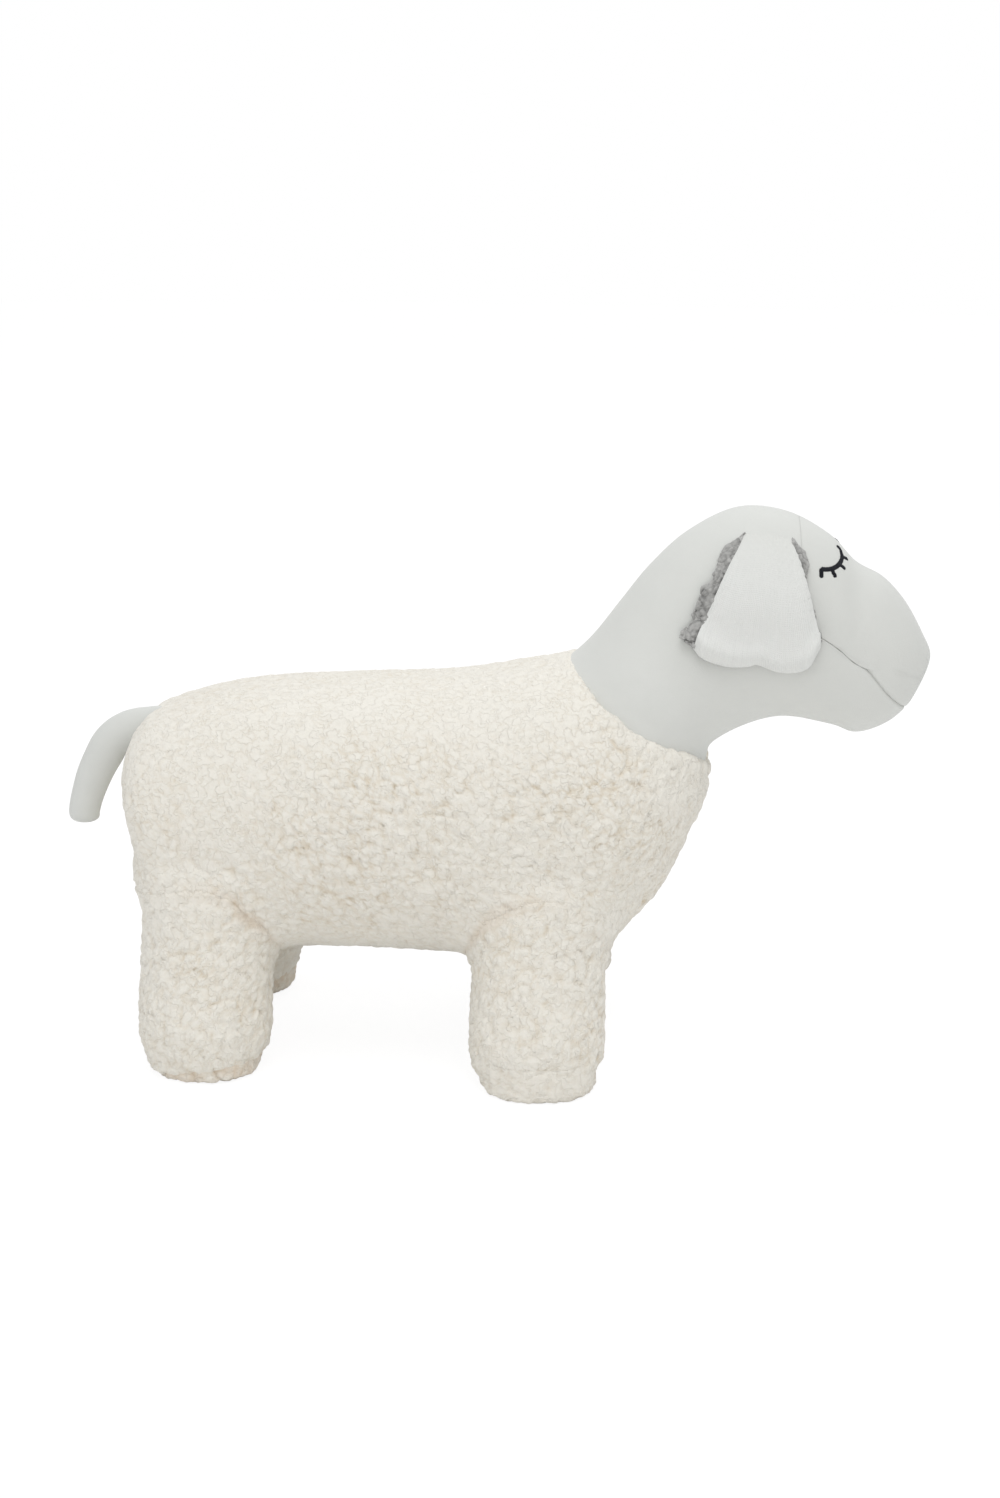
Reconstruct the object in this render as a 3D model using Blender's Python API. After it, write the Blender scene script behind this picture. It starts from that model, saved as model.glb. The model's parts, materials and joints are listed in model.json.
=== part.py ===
"""A standing plush sheep: fleece body, legs and soles, smooth knit neck, face and tail, lined ears, stitched eyes.

Metres. The nose points to +X, the sheep's left side to +Y, and the four soles rest on z = 0.
Every cover is a shell of its cloth's thickness, with a separate body of stuffing inside it.
"""

import math

import bmesh
import bpy
import numpy as np
from mathutils import Matrix, Vector
from mathutils.bvhtree import BVHTree

# Cloth and seams
FLEECE = 0.0045  # curly pile with its backing
KNIT = 0.0015  # smooth cloth of the neck, face and tail
SEAM_GAP = 0.0003  # between two pieces that touch
OVERRUN = 0.010  # how far a cutter passes what it cuts

# Body
BODY_LENGTH = 0.298
BODY_HEIGHT = 0.1522  # belly to the top of the neckline
BODY_WIDTH = 0.154
BELLY_HEIGHT = 0.0478  # floor to belly
RUMP_X = -0.1866
BODY_SQUARENESS = 2.4
BODY_AROUND = 20
BODY_STEPS = 18

# Neck and head
NECKLINE_STEP = 0.0030  # how far the fleece stands proud of the neck at the chest
NECKLINE_TOP_STEP = 0.0016
NECK_PLUG = 0.008  # how deep the neck sits in the body's opening
HEAD_LENGTH = 0.138  # middle of the neckline to the nose
HEAD_HEIGHT = 0.0995  # middle of the neckline to the crown
HEAD_WIDTH = 0.082
HEAD_SQUARENESS = 2.15
HEAD_AROUND = 20
HEAD_STEPS = 18

# Legs and soles
FRONT_LEG_SHARE = 0.721  # of the body's length, from the rump
REAR_LEG_SHARE = 0.170
FRONT_FOOT_Y = 0.0685
REAR_FOOT_Y = 0.0605
HIP_INSET = 0.026  # how far a leg's top lies inside its foot, towards the middle
LEG_TOP = 0.108  # floor to the leg's highest point, inside the body
LEG_LENGTHWISE = 0.067
LEG_CROSSWISE = 0.062
SOLE_HEIGHT = 0.0075
FRONT_SOLE_WIDTH = 0.057
REAR_SOLE_WIDTH = 0.053
SOLE_EDGE = 0.0035  # rounding of the sole's lower edge
LEG_AROUND = 16
LEG_STEPS = 8
SOLE_ANGLES = (math.radians(45), math.radians(90))  # along the rounded edge

# Tail
TAIL_ROOT_SHARES = (0.049, 0.723)  # of the body's length, from the rump, and of its height
TAIL_LENGTH = 0.0435  # root to the rearmost point
TAIL_HEIGHT = 0.054  # root to the tip, downwards
TAIL_WIDTH = 0.017
TAIL_BALL_RADIUS = 0.0115  # rounded root that turns in the rump
TAIL_BALL_CLEARANCE = 0.0006
TAIL_AROUND = 12
TAIL_STEPS = 15
SOCKET_DETAIL = 3  # how often the guide ball is split into finer faces

# Ears
EAR_PLACE_SHARES = (0.415, 0.500)  # root: of the head's length, and of half its width
EAR_ROOT_WIDTH = 0.0255
EAR_WIDTH = 0.0585
EAR_LENGTH = 0.0700  # root to tip, along the cloth
EAR_SWEEP = 0.0055  # how far the tip lies behind the root
EAR_CLOTH = 0.0018
EAR_LINING = 0.0040
EAR_ROOT_LINING = 0.0012
EAR_REAR_BORDER = 0.0055  # how far the lining shows behind the outer cloth
EAR_FRONT_BORDER = 0.0030
EAR_CLEARANCE = 0.0008
EAR_ACROSS = 9
EAR_CORNER_SHARE = 0.16  # how much shorter the ear is at its corners
EAR_CORNER_POWER = 3
EAR_SETTLING_SHARE = 0.33  # of the ear's length, until its cloth lies along the head
EAR_BORDER_SHARE = 0.33  # of the spread, until the lining's border has its full width
EAR_FAN = math.radians(120)  # of rays that measure the cloth's way down the head
EAR_FAN_RAYS = 121

# Eyes
EYE_PLACE_SHARES = (0.646, 0.456)  # of the head's length, and of half its width
EYE_RADIUS = 0.0185  # of the closed lid's arc
EYE_SPAN = math.radians(86)
EYE_LINE = 0.0022
EYE_LASH = 0.0034
EYE_PILE = 0.0009  # height of the satin stitches
EYE_CLEARANCE = 0.0004

# Each row is a chord of the side view, rump to neckline: top x, top z, bottom x, bottom z, half width.
# x follows the body's length, z its height above the belly, and the half width half the body's width.
BODY_SHARES = (
    (0.017, 0.530, 0.017, 0.530, 0.00),
    (0.008, 0.640, 0.042, 0.330, 0.56),
    (0.034, 0.740, 0.074, 0.150, 0.79),
    (0.088, 0.810, 0.130, 0.040, 0.89),
    (0.221, 0.880, 0.231, 0.007, 0.93),
    (0.400, 0.903, 0.406, 0.008, 0.96),
    (0.510, 0.912, 0.560, 0.003, 0.98),
    (0.585, 0.926, 0.700, 0.005, 1.00),
    (0.640, 0.942, 0.808, 0.045, 0.99),
    (0.684, 0.959, 0.882, 0.137, 0.96),
    (0.714, 0.973, 0.930, 0.262, 0.90),
    (0.735, 0.984, 0.961, 0.402, 0.82),
    (0.750, 0.994, 0.984, 0.545, 0.73),
    (0.764, 1.003, 0.997, 0.673, 0.64),
)

# Chords from the neck to the nose, measured from the middle of the neckline.
# x follows the head's reach, z its rise, and the half width half the head's width.
HEAD_SHARES = (
    (-0.176, 0.353, 0.249, -0.176, 1.10),
    (-0.089, 0.518, 0.315, -0.112, 1.02),
    (0.002, 0.700, 0.404, -0.058, 0.98),
    (0.130, 0.878, 0.482, -0.032, 0.98),
    (0.310, 0.993, 0.548, -0.034, 1.00),
    (0.484, 0.980, 0.613, -0.050, 0.98),
    (0.640, 0.875, 0.686, -0.073, 0.89),
    (0.735, 0.742, 0.748, -0.095, 0.78),
    (0.834, 0.668, 0.812, -0.080, 0.69),
    (0.915, 0.550, 0.880, -0.040, 0.58),
    (0.980, 0.392, 0.938, 0.032, 0.42),
    (1.012, 0.280, 0.966, 0.085, 0.22),
    (0.990, 0.175, 0.990, 0.175, 0.00),
)

# The seam from the crown down under the ear and along the mouth, in the same shares.
FACE_SEAM_SHARES = (
    (0.518, 1.120),
    (0.522, 0.884),
    (0.547, 0.693),
    (0.580, 0.543),
    (0.616, 0.457),
    (0.656, 0.427),
    (0.699, 0.382),
    (0.757, 0.302),
    (0.808, 0.216),
    (0.851, 0.146),
    (0.895, 0.106),
    (1.060, 0.020),
)

# A leg from its top to the sole: height, share of the way from hip to foot, half length and half width.
LEG_SHARES = (
    (1.000, -0.10, 0.62, 0.55),
    (0.910, 0.10, 0.88, 0.87),
    (0.750, 0.30, 0.98, 0.99),
    (0.560, 0.50, 0.99, 1.00),
    (0.370, 0.70, 0.99, 1.00),
    (0.190, 0.90, 1.01, 1.01),
    (0.110, 0.97, 1.00, 1.00),
    (0.000, 1.00, 0.90, 0.92),
)

# Chords of the tail from its root to its tip: outer x, outer z, inner x, inner z, half width.
# x follows the tail's reach to the rear, z its drop, and the half width half the tail's width.
TAIL_SHARES = (
    (0.321, -0.130, 0.298, 0.085, 0.80),
    (0.517, -0.028, 0.356, 0.235, 0.93),
    (0.663, 0.113, 0.396, 0.357, 0.98),
    (0.769, 0.273, 0.443, 0.489, 1.00),
    (0.863, 0.451, 0.521, 0.611, 0.96),
    (0.934, 0.639, 0.592, 0.742, 0.92),
    (0.981, 0.808, 0.634, 0.865, 0.87),
    (0.991, 0.934, 0.665, 0.957, 0.75),
    (0.825, 0.998, 0.825, 0.998, 0.00),
)

# Where the rounded root's rings lie along the tail, in shares of its radius.
TAIL_BALL_SHARES = (-0.60, -0.30, 0.00, 0.35, 0.65)

# Half the ear's width from root to tip, between its root width and its full width.
EAR_SPREAD_SHARES = (0.00, 0.02, 0.07, 0.22, 0.38, 0.54, 0.70, 0.85, 0.98, 0.97)

# Directions at the right eye: away from the face, and up the forehead.
EYE_FACING_SHARES = (0.58, -0.50, 0.64)
EYE_UP_SHARES = (-0.70, 0.09, 0.71)

# Along the lid's arc, a segment of lash and two without it follow each other.
LID_SEGMENTS = 13
LASH_EVERY = 3

SIDES = {"right": -1, "left": 1}

SHARP_ANGLE = math.radians(40)


def clear_scene():
    for thing in list(bpy.data.objects):
        bpy.data.objects.remove(thing, do_unlink=True)


def cloth(name, colour, roughness):
    material = bpy.data.materials.new(name)
    material.use_nodes = True
    shader = material.node_tree.nodes["Principled BSDF"]
    shader.inputs["Base Color"].default_value = (*colour, 1)
    shader.inputs["Roughness"].default_value = roughness
    shader.inputs["Metallic"].default_value = 0
    return material


def shown(mesh, name):
    """Closes off a bmesh as an object, with its faces turned outwards and its round faces smooth."""
    bmesh.ops.recalc_face_normals(mesh, faces=mesh.faces)
    data = bpy.data.meshes.new(name)
    mesh.to_mesh(data)
    mesh.free()
    piece = bpy.data.objects.new(name, data)
    bpy.context.scene.collection.objects.link(piece)
    return piece


def tube(name, rings):
    """A closed body through the rings. An end ring that is a point becomes a pole, and any other a flat end."""
    mesh = bmesh.new()
    loops = []
    for ring in rings:
        points = ring[:1] if np.allclose(ring, ring[0], atol=SEAM_GAP / 100) else ring
        loops.append([mesh.verts.new(point) for point in points])
    around = len(rings[0])
    for near, far in zip(loops, loops[1:]):
        for i in range(around):
            j = (i + 1) % around
            if len(near) == 1:
                mesh.faces.new((near[0], far[i], far[j]))
            elif len(far) == 1:
                mesh.faces.new((near[i], far[0], near[j]))
            else:
                mesh.faces.new((near[i], far[i], far[j], near[j]))
    for loop, ring in ((loops[0], rings[0]), (loops[-1], rings[-1])):
        if len(loop) > 1:
            middle = mesh.verts.new(ring.mean(axis=0))
            for i in range(around):
                mesh.faces.new((loop[i], loop[(i + 1) % around], middle))
    bmesh.ops.triangulate(mesh, faces=mesh.faces, quad_method="FIXED")
    return shown(mesh, name)


def slab(name, lower, upper):
    """A closed sheet between two grids of points."""
    mesh = bmesh.new()
    floor = [[mesh.verts.new(point) for point in row] for row in lower]
    roof = [[mesh.verts.new(point) for point in row] for row in upper]
    rows, columns = len(floor), len(floor[0])
    for i in range(rows - 1):
        for j in range(columns - 1):
            for grid in (floor, roof):
                mesh.faces.new((grid[i][j], grid[i + 1][j], grid[i + 1][j + 1], grid[i][j + 1]))
    rim = [(0, j) for j in range(columns)] + [(i, columns - 1) for i in range(1, rows)]
    rim += [(rows - 1, j) for j in range(columns - 2, -1, -1)] + [(i, 0) for i in range(rows - 2, 0, -1)]
    for (i, j), (k, m) in zip(rim, rim[1:] + rim[:1]):
        mesh.faces.new((floor[i][j], floor[k][m], roof[k][m], roof[i][j]))
    bmesh.ops.triangulate(mesh, faces=mesh.faces, quad_method="FIXED")
    return shown(mesh, name)


def beyond(end, neighbour):
    """The row past an end: round the far side of a pole, or straight on."""
    if end[4] == 0:
        return [neighbour[2], neighbour[3], neighbour[0], neighbour[1], -neighbour[4]]
    return 2 * end - neighbour


def smoothed(rows, steps):
    """Rows at even steps of the Catmull-Rom curve from the second row to the last but one."""
    place = np.linspace(0, len(rows) - 3, steps)
    start = np.minimum(place.astype(int), len(rows) - 4)
    share = (place - start)[:, None]
    a, b, c, d = (rows[start + k] for k in range(4))
    bend = 2 * a - 5 * b + 4 * c - d + share * (3 * (b - c) + d - a)
    return b + share / 2 * (c - a + share * bend)


def along(rows, steps):
    """Chords at even steps of the smooth curve through the given chords."""
    rows = np.array(rows, float)
    return smoothed(np.vstack([beyond(rows[0], rows[1]), rows, beyond(rows[-1], rows[-2])]), steps)


def rounded(turn, squareness):
    """Cosine and sine of a superellipse, which is an ellipse at a squareness of 2."""
    power = 2 / squareness
    wave = np.stack([np.cos(turn), np.sin(turn)])
    return np.sign(wave) * np.abs(wave) ** power


def loft(name, rows, squareness, around):
    """A body whose rings stand across the chords of its side view: top x, top z, bottom x, bottom z, half width."""
    lengthwise, sideways = rounded(np.linspace(0, 2 * math.pi, around, endpoint=False), squareness)
    middle = (rows[:, :2] + rows[:, 2:4]) / 2
    half = (rows[:, :2] - rows[:, 2:4]) / 2
    x = middle[:, :1] + half[:, :1] * lengthwise
    z = middle[:, 1:] + half[:, 1:] * lengthwise
    return tube(name, np.stack([x, rows[:, 4:] * sideways, z], axis=-1))


def prolonged(rows, run):
    """The rows with one more before the first, moved out square to its chord."""
    first, second = rows[0], rows[1]
    chord = (first[:2] - first[2:4]) / np.linalg.norm(first[:2] - first[2:4])
    out = np.array([chord[1], -chord[0]])
    if (first[:2] + first[2:4] - second[:2] - second[2:4]) @ out < 0:
        out = -out
    before = np.concatenate([first[:2] + out * run, first[2:4] + out * run, first[4:]])
    return np.vstack([before, rows])


def resized(piece, name, distance):
    """A copy with its whole surface moved outwards by the distance, or inwards if it is negative."""
    mesh = bmesh.new()
    mesh.from_mesh(piece.data)
    mesh.normal_update()
    moves = [vertex.normal * (vertex.calc_shell_factor() * distance) for vertex in mesh.verts]
    for vertex, move in zip(mesh.verts, moves):
        vertex.co += move
    return shown(mesh, name)


def copied(piece, name):
    return resized(piece, name, 0)


def combine(piece, other, operation):
    """Leaves in the piece what a Boolean with the other one makes of it."""
    modifier = piece.modifiers.new("combine", "BOOLEAN")
    modifier.operation = operation
    modifier.object = other
    graph = bpy.context.evaluated_depsgraph_get()
    result = bpy.data.meshes.new_from_object(piece.evaluated_get(graph))
    piece.modifiers.clear()
    piece.data = result


def cut(piece, *cutters):
    for cutter in cutters:
        combine(piece, cutter, "DIFFERENCE")


def discard(*guides):
    for guide in guides:
        bpy.data.objects.remove(guide, do_unlink=True)


def finish(piece, material):
    piece.data.materials.clear()
    piece.data.materials.append(material)
    piece.data.shade_smooth()
    piece.data.set_sharp_from_angle(angle=SHARP_ANGLE)


def hinge(piece, point):
    """Puts the piece's origin on the axis it turns about, and leaves its surface where it is."""
    piece.data.transform(Matrix.Translation(-Vector(point)))
    piece.location = point


def body_rows():
    """The body's chords, from the rump to the slanted neckline."""
    scale = np.array([BODY_LENGTH, BODY_HEIGHT, BODY_LENGTH, BODY_HEIGHT, BODY_WIDTH / 2])
    start = np.array([RUMP_X, BELLY_HEIGHT, RUMP_X, BELLY_HEIGHT, 0])
    return start + np.array(BODY_SHARES) * scale


def neckline():
    """The neck's chord where it leaves the fleece, and the unit vector along it."""
    edge = body_rows()[-1]
    chord = (edge[:2] - edge[2:4]) / np.linalg.norm(edge[:2] - edge[2:4])
    top = edge[:2] - chord * NECKLINE_TOP_STEP
    bottom = edge[2:4] + chord * NECKLINE_STEP
    return np.concatenate([top, bottom, [edge[4] - NECKLINE_STEP]]), chord


def head_point(share_x, share_z):
    """A place in the side view from its shares of the head's reach and rise."""
    chord, _ = neckline()
    middle = (chord[:2] + chord[2:4]) / 2
    return middle + np.array([share_x * HEAD_LENGTH, share_z * HEAD_HEIGHT])


def head_rows():
    """The chords of neck and head, from the plug inside the body to the nose."""
    collar, chord = neckline()
    inwards = np.array([chord[1], -chord[0]]) * -NECK_PLUG
    plug = collar + np.array([inwards[0], inwards[1], inwards[0], inwards[1], 0])
    rows = [plug, collar]
    for top_x, top_z, bottom_x, bottom_z, width in HEAD_SHARES:
        ends = [*head_point(top_x, top_z), *head_point(bottom_x, bottom_z)]
        rows.append(np.array(ends + [width * HEAD_WIDTH / 2]))
    return rows


def shell_and_stuffing(outer, hollow, cover_name, stuffing_name):
    """A cover of the outer shape around the hollow, and the stuffing that fills the hollow inside the outer shape."""
    cover = copied(outer, cover_name)
    cut(cover, hollow)
    stuffing = resized(hollow, stuffing_name, -SEAM_GAP)
    combine(stuffing, outer, "INTERSECT")
    return cover, stuffing


def leg_rings(front, side, inset):
    """Level rings of a leg from its hidden top down to the sole.

    An inset gives the hollow inside the cloth: it runs on past the top, and ends at the sole's recess.
    """
    centre_x = RUMP_X + BODY_LENGTH * (FRONT_LEG_SHARE if front else REAR_LEG_SHARE)
    foot_y = FRONT_FOOT_Y if front else REAR_FOOT_Y
    rows = np.array(LEG_SHARES)
    rows = smoothed(np.vstack([2 * rows[0] - rows[1], rows, 2 * rows[-1] - rows[-2]]), LEG_STEPS)
    turn = np.linspace(0, 2 * math.pi, LEG_AROUND, endpoint=False)
    z = SOLE_HEIGHT + SEAM_GAP + rows[:, 0] * (LEG_TOP - SOLE_HEIGHT)
    y = foot_y - HIP_INSET * (1 - rows[:, 1])
    x_radius = rows[:, 2] * LEG_LENGTHWISE / 2 - inset
    y_radius = rows[:, 3] * LEG_CROSSWISE / 2 - inset
    if inset:
        recess = sole_radius(front) - FLEECE
        x_radius[-1] = y_radius[-1] = recess
        z[0] += OVERRUN
    rings = np.empty((len(rows), LEG_AROUND, 3))
    rings[..., 0] = centre_x + x_radius[:, None] * np.cos(turn)
    rings[..., 1] = side * (y[:, None] + y_radius[:, None] * np.sin(turn))
    rings[..., 2] = z[:, None]
    return rings


def sole_radius(front):
    return (FRONT_SOLE_WIDTH if front else REAR_SOLE_WIDTH) / 2


def turned(name, centre, profile):
    """A closed body turned about the vertical through the centre: the profile's rows are radius and height."""
    turn = np.linspace(0, 2 * math.pi, LEG_AROUND, endpoint=False)
    rings = np.empty((len(profile), LEG_AROUND, 3))
    for ring, (radius, height) in zip(rings, profile):
        ring[:, 0] = centre[0] + radius * np.cos(turn)
        ring[:, 1] = centre[1] + radius * np.sin(turn)
        ring[:, 2] = height
    return tube(name, rings)


def make_leg(front, side_name, body_space):
    """The fleece tube of a leg, its stuffing, and the sole: a shallow cup that the stuffing fills."""
    place = f"{'front' if front else 'rear'}_{side_name}"
    side = SIDES[side_name]
    cover = tube("leg_cover_" + place, leg_rings(front, side, 0))
    rings = leg_rings(front, side, FLEECE)
    centre = rings[-1].mean(axis=0)
    recess = sole_radius(front) - FLEECE
    lower_end = rings[-1:] - np.array([0, 0, OVERRUN])
    hollow = tube("leg_hollow", np.concatenate([rings, lower_end]))
    cut(cover, hollow, body_space)
    plug_end = rings[-1:] - np.array([0, 0, rings[-1, 0, 2] - FLEECE])
    filled = tube("leg_filled", np.concatenate([rings, plug_end]))
    stuffing = resized(filled, "leg_stuffing_" + place, -SEAM_GAP)
    cut(stuffing, body_space)
    radius = sole_radius(front)
    profile = [(0, 0), (radius - SOLE_EDGE, 0)]
    for angle in SOLE_ANGLES:
        edge = (radius - SOLE_EDGE * (1 - math.sin(angle)), SOLE_EDGE * (1 - math.cos(angle)))
        profile.append(edge)
    profile += [(radius, SOLE_HEIGHT), (recess, SOLE_HEIGHT), (recess, FLEECE), (0, FLEECE)]
    sole = turned("foot_sole_" + place, centre, profile)
    discard(hollow, filled)
    return cover, stuffing, sole


def tail_root():
    """The middle of the tail's rounded root, in the side view."""
    along_body, up_body = TAIL_ROOT_SHARES
    return np.array([RUMP_X + BODY_LENGTH * along_body, BELLY_HEIGHT + BODY_HEIGHT * up_body])


def tail_rows():
    """Chords from the flat back of the rounded root, over the root and along the tail to its tip."""
    scale = np.array([-TAIL_LENGTH, -TAIL_HEIGHT, -TAIL_LENGTH, -TAIL_HEIGHT, TAIL_WIDTH / 2])
    root = tail_root()
    start = np.concatenate([root, root, [0]])
    rows = start + np.array(TAIL_SHARES) * scale
    out = (rows[0, :2] + rows[0, 2:4]) / 2 - root
    out /= np.linalg.norm(out)
    up = np.array([out[1], -out[0]])
    ball = []
    for share in TAIL_BALL_SHARES:
        centre = root + out * share * TAIL_BALL_RADIUS
        radius = TAIL_BALL_RADIUS * math.sqrt(1 - share * share)
        ball.append([*(centre + up * radius), *(centre - up * radius), radius])
    return np.vstack([ball, rows])


def make_tail():
    """The tail's cover and stuffing, from the rounded root in the rump to the flat tip."""
    rows = tail_rows()
    closer = along(rows, TAIL_STEPS)
    outer = loft("tail_shape", closer, 2, TAIL_AROUND)
    longer = loft("tail_longer", prolonged(closer, OVERRUN), 2, TAIL_AROUND)
    hollow = resized(longer, "tail_hollow", -KNIT)
    cover, stuffing = shell_and_stuffing(outer, hollow, "tail_cover", "tail_stuffing")
    discard(outer, longer, hollow)
    return cover, stuffing


def ball(name, centre, radius):
    """A guide sphere."""
    mesh = bmesh.new()
    bmesh.ops.create_icosphere(mesh, subdivisions=SOCKET_DETAIL, radius=radius)
    bmesh.ops.translate(mesh, verts=mesh.verts, vec=centre)
    return shown(mesh, name)


def side_profile(name, outline, half_depth):
    """A closed body of a side-view outline, from the right of the sheep to the left."""
    mesh = bmesh.new()
    faces = []
    for y in (-half_depth, half_depth):
        faces.append(mesh.faces.new([mesh.verts.new((x, y, z)) for x, z in outline]))
    right, left = (face.verts[:] for face in faces)
    for i in range(len(outline)):
        j = (i + 1) % len(outline)
        mesh.faces.new((right[i], right[j], left[j], left[i]))
    return shown(mesh, name)


def make_head(outer, hollow):
    """The neck cover, the face cover in front of the seam, and the stuffing of both."""
    neck, stuffing = shell_and_stuffing(outer, hollow, "neck_cover", "head_stuffing")
    face = copied(neck, "face_cover")
    seam = [head_point(*share) for share in FACE_SEAM_SHARES]
    far_x = seam[-1][0] + OVERRUN
    outline = seam + [np.array([far_x, seam[-1][1]]), np.array([far_x, seam[0][1]])]
    front = side_profile("face_space", outline, HEAD_WIDTH)
    front_and_gap = resized(front, "face_space_and_gap", SEAM_GAP)
    combine(face, front, "INTERSECT")
    cut(neck, front_and_gap)
    discard(front, front_and_gap)
    return neck, face, stuffing


class HeadSide:
    """One side of the head, read by rays from its middle: the cloth of an ear is laid on it."""

    def __init__(self, surface, side):
        self.surface = surface
        self.side = side
        crown = head_point(*HEAD_SHARES[4][:2])
        jaw = head_point(*HEAD_SHARES[4][2:4])
        self.centre_z = (crown[1] + jaw[1]) / 2
        fan = np.linspace(0, EAR_FAN, EAR_FAN_RAYS)
        self.root_x = head_point(EAR_PLACE_SHARES[0], 0)[0]
        points = np.array([self.at(self.root_x, angle)[0] for angle in fan])
        lengths = np.concatenate([[0], np.cumsum(np.linalg.norm(np.diff(points, axis=0), axis=1))])
        outwards = np.abs(points[:, 1])
        widest = outwards.argmax()
        root_y = EAR_PLACE_SHARES[1] * HEAD_WIDTH / 2
        root_angle = np.interp(root_y, outwards[:widest], fan[:widest])
        self.fan = fan
        self.lengths = lengths - np.interp(root_angle, fan, lengths)

    def at(self, x, angle):
        """The head's surface at an angle from the vertical, in the plane at x."""
        away = Vector((0, self.side * math.sin(angle), math.cos(angle)))
        point, normal, _, _ = self.surface.ray_cast(Vector((x, 0, self.centre_z)), away)
        return np.array(point), np.array(normal)

    def below_root(self, x, length):
        """The surface at a length of cloth below the ear's root."""
        return self.at(x, np.interp(length, self.lengths, self.fan))


def settling(down):
    """How far the ear's cloth has come to lie along the head, at shares of its length from the root."""
    return np.minimum(down / EAR_SETTLING_SHARE, 1)


def ear_middle(head):
    """Points between the ear's two layers, and the directions away from the head there, from root to tip.

    The first and last columns are the lining's border, which shows beyond the outer cloth.
    """
    down = np.linspace(0, 1, len(EAR_SPREAD_SHARES))
    across = np.linspace(-1, 1, EAR_ACROSS)
    across = np.concatenate([[-1], across, [1]])
    spread = np.array(EAR_SPREAD_SHARES)
    half = EAR_ROOT_WIDTH / 2 + spread * (EAR_WIDTH - EAR_ROOT_WIDTH) / 2
    border = np.minimum(spread / EAR_BORDER_SHARE, 1)
    points = np.empty((len(down), len(across), 3))
    aways = np.empty_like(points)
    root_away = head.below_root(head.root_x, 0)[1]
    for i, v in enumerate(down):
        offsets = across * half[i]
        offsets[0] -= EAR_REAR_BORDER * border[i]
        offsets[-1] += EAR_FRONT_BORDER * border[i]
        settled = settling(v)
        lift = EAR_CLEARANCE + EAR_ROOT_LINING + (EAR_LINING - EAR_ROOT_LINING) * settled + SEAM_GAP / 2
        for j, u in enumerate(across):
            x = head.root_x - EAR_SWEEP * v + offsets[j]
            length = EAR_LENGTH * v * (1 - EAR_CORNER_SHARE * abs(u) ** EAR_CORNER_POWER)
            surface, away = head.below_root(x, length)
            straight = head.below_root(head.root_x, length)[0] + root_away * lift
            straight[0] = x
            points[i, j] = (surface + away * lift) * settled + straight * (1 - settled)
            aways[i, j] = away * settled + root_away * (1 - settled)
    # Below the widest part of the head the cloth hangs straight down.
    points[..., 1] = head.side * np.maximum.accumulate(head.side * points[..., 1], axis=0)
    aways /= np.linalg.norm(aways, axis=-1, keepdims=True)
    return points, aways


def make_ear(head, side_name):
    """The outer cloth and the curly lining of an ear, two sheets that turn together about the ear's root."""
    settled = settling(np.linspace(0, 1, len(EAR_SPREAD_SHARES)))[:, None, None]
    points, aways = ear_middle(head)
    root = points[0].mean(axis=0)
    height = EAR_ROOT_LINING + (EAR_CLOTH - EAR_ROOT_LINING) * settled
    inside = (points + aways * SEAM_GAP / 2)[:, 1:-1]
    outer = slab("ear_outer_" + side_name, inside, inside + (aways * height)[:, 1:-1])
    height = EAR_ROOT_LINING + (EAR_LINING - EAR_ROOT_LINING) * settled
    outside = points - aways * SEAM_GAP / 2
    lining = slab("ear_lining_" + side_name, outside - aways * height, outside)
    for layer in (outer, lining):
        hinge(layer, root)
    return outer, lining


def make_eye(surface, side_name):
    """A closed lid with lashes, as satin stitches raised on the face: an arc whose outer edge carries short strokes."""
    side = SIDES[side_name]
    mirror = np.array([1, -side, 1])
    facing = np.array(EYE_FACING_SHARES) * mirror
    facing /= np.linalg.norm(facing)
    up = np.array(EYE_UP_SHARES) * mirror
    up -= facing * (up @ facing)
    up /= np.linalg.norm(up)
    inwards = np.cross(up, facing) * -side
    eye_x = head_point(EYE_PLACE_SHARES[0], 0)[0]
    eye_y = side * EYE_PLACE_SHARES[1] * HEAD_WIDTH / 2
    sky = Vector((eye_x, eye_y, head_point(*HEAD_SHARES[4][:2])[1] + OVERRUN))
    middle = np.array(surface.ray_cast(sky, Vector((0, 0, -1)))[0])
    radii = EYE_RADIUS + np.array([-EYE_LINE / 2, EYE_LINE / 2, EYE_LINE / 2 + EYE_LASH])
    chord = EYE_RADIUS * math.cos(EYE_SPAN / 2)
    mesh = bmesh.new()
    corners = {}

    def corner(row, column):
        if (row, column) not in corners:
            angle = EYE_SPAN * (column / LID_SEGMENTS - 1 / 2)
            across = inwards * radii[row] * math.sin(angle)
            flat = middle + across + up * (chord - radii[row] * math.cos(angle))
            point, normal, _, _ = surface.ray_cast(Vector(flat + facing * HEAD_WIDTH), Vector(-facing))
            away = np.array(normal) + facing
            away /= np.linalg.norm(away)
            low = np.array(point) + away * EYE_CLEARANCE
            corners[row, column] = (mesh.verts.new(low), mesh.verts.new(low + away * EYE_PILE))
        return corners[row, column]

    edges = {}
    for column in range(LID_SEGMENTS):
        for row in range(2 if column % LASH_EVERY == 0 else 1):
            around = [(row, column), (row, column + 1), (row + 1, column + 1), (row + 1, column)]
            for layer in (0, 1):
                mesh.faces.new([corner(*place)[layer] for place in around])
            for start, end in zip(around, around[1:] + around[:1]):
                edge = frozenset((start, end))
                if edge in edges:
                    edges.pop(edge)
                else:
                    edges[edge] = (start, end)
    for start, end in edges.values():
        mesh.faces.new((corner(*start)[0], corner(*end)[0], corner(*end)[1], corner(*start)[1]))
    bmesh.ops.triangulate(mesh, faces=mesh.faces, quad_method="FIXED")
    return shown(mesh, "eye_" + side_name)


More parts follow.
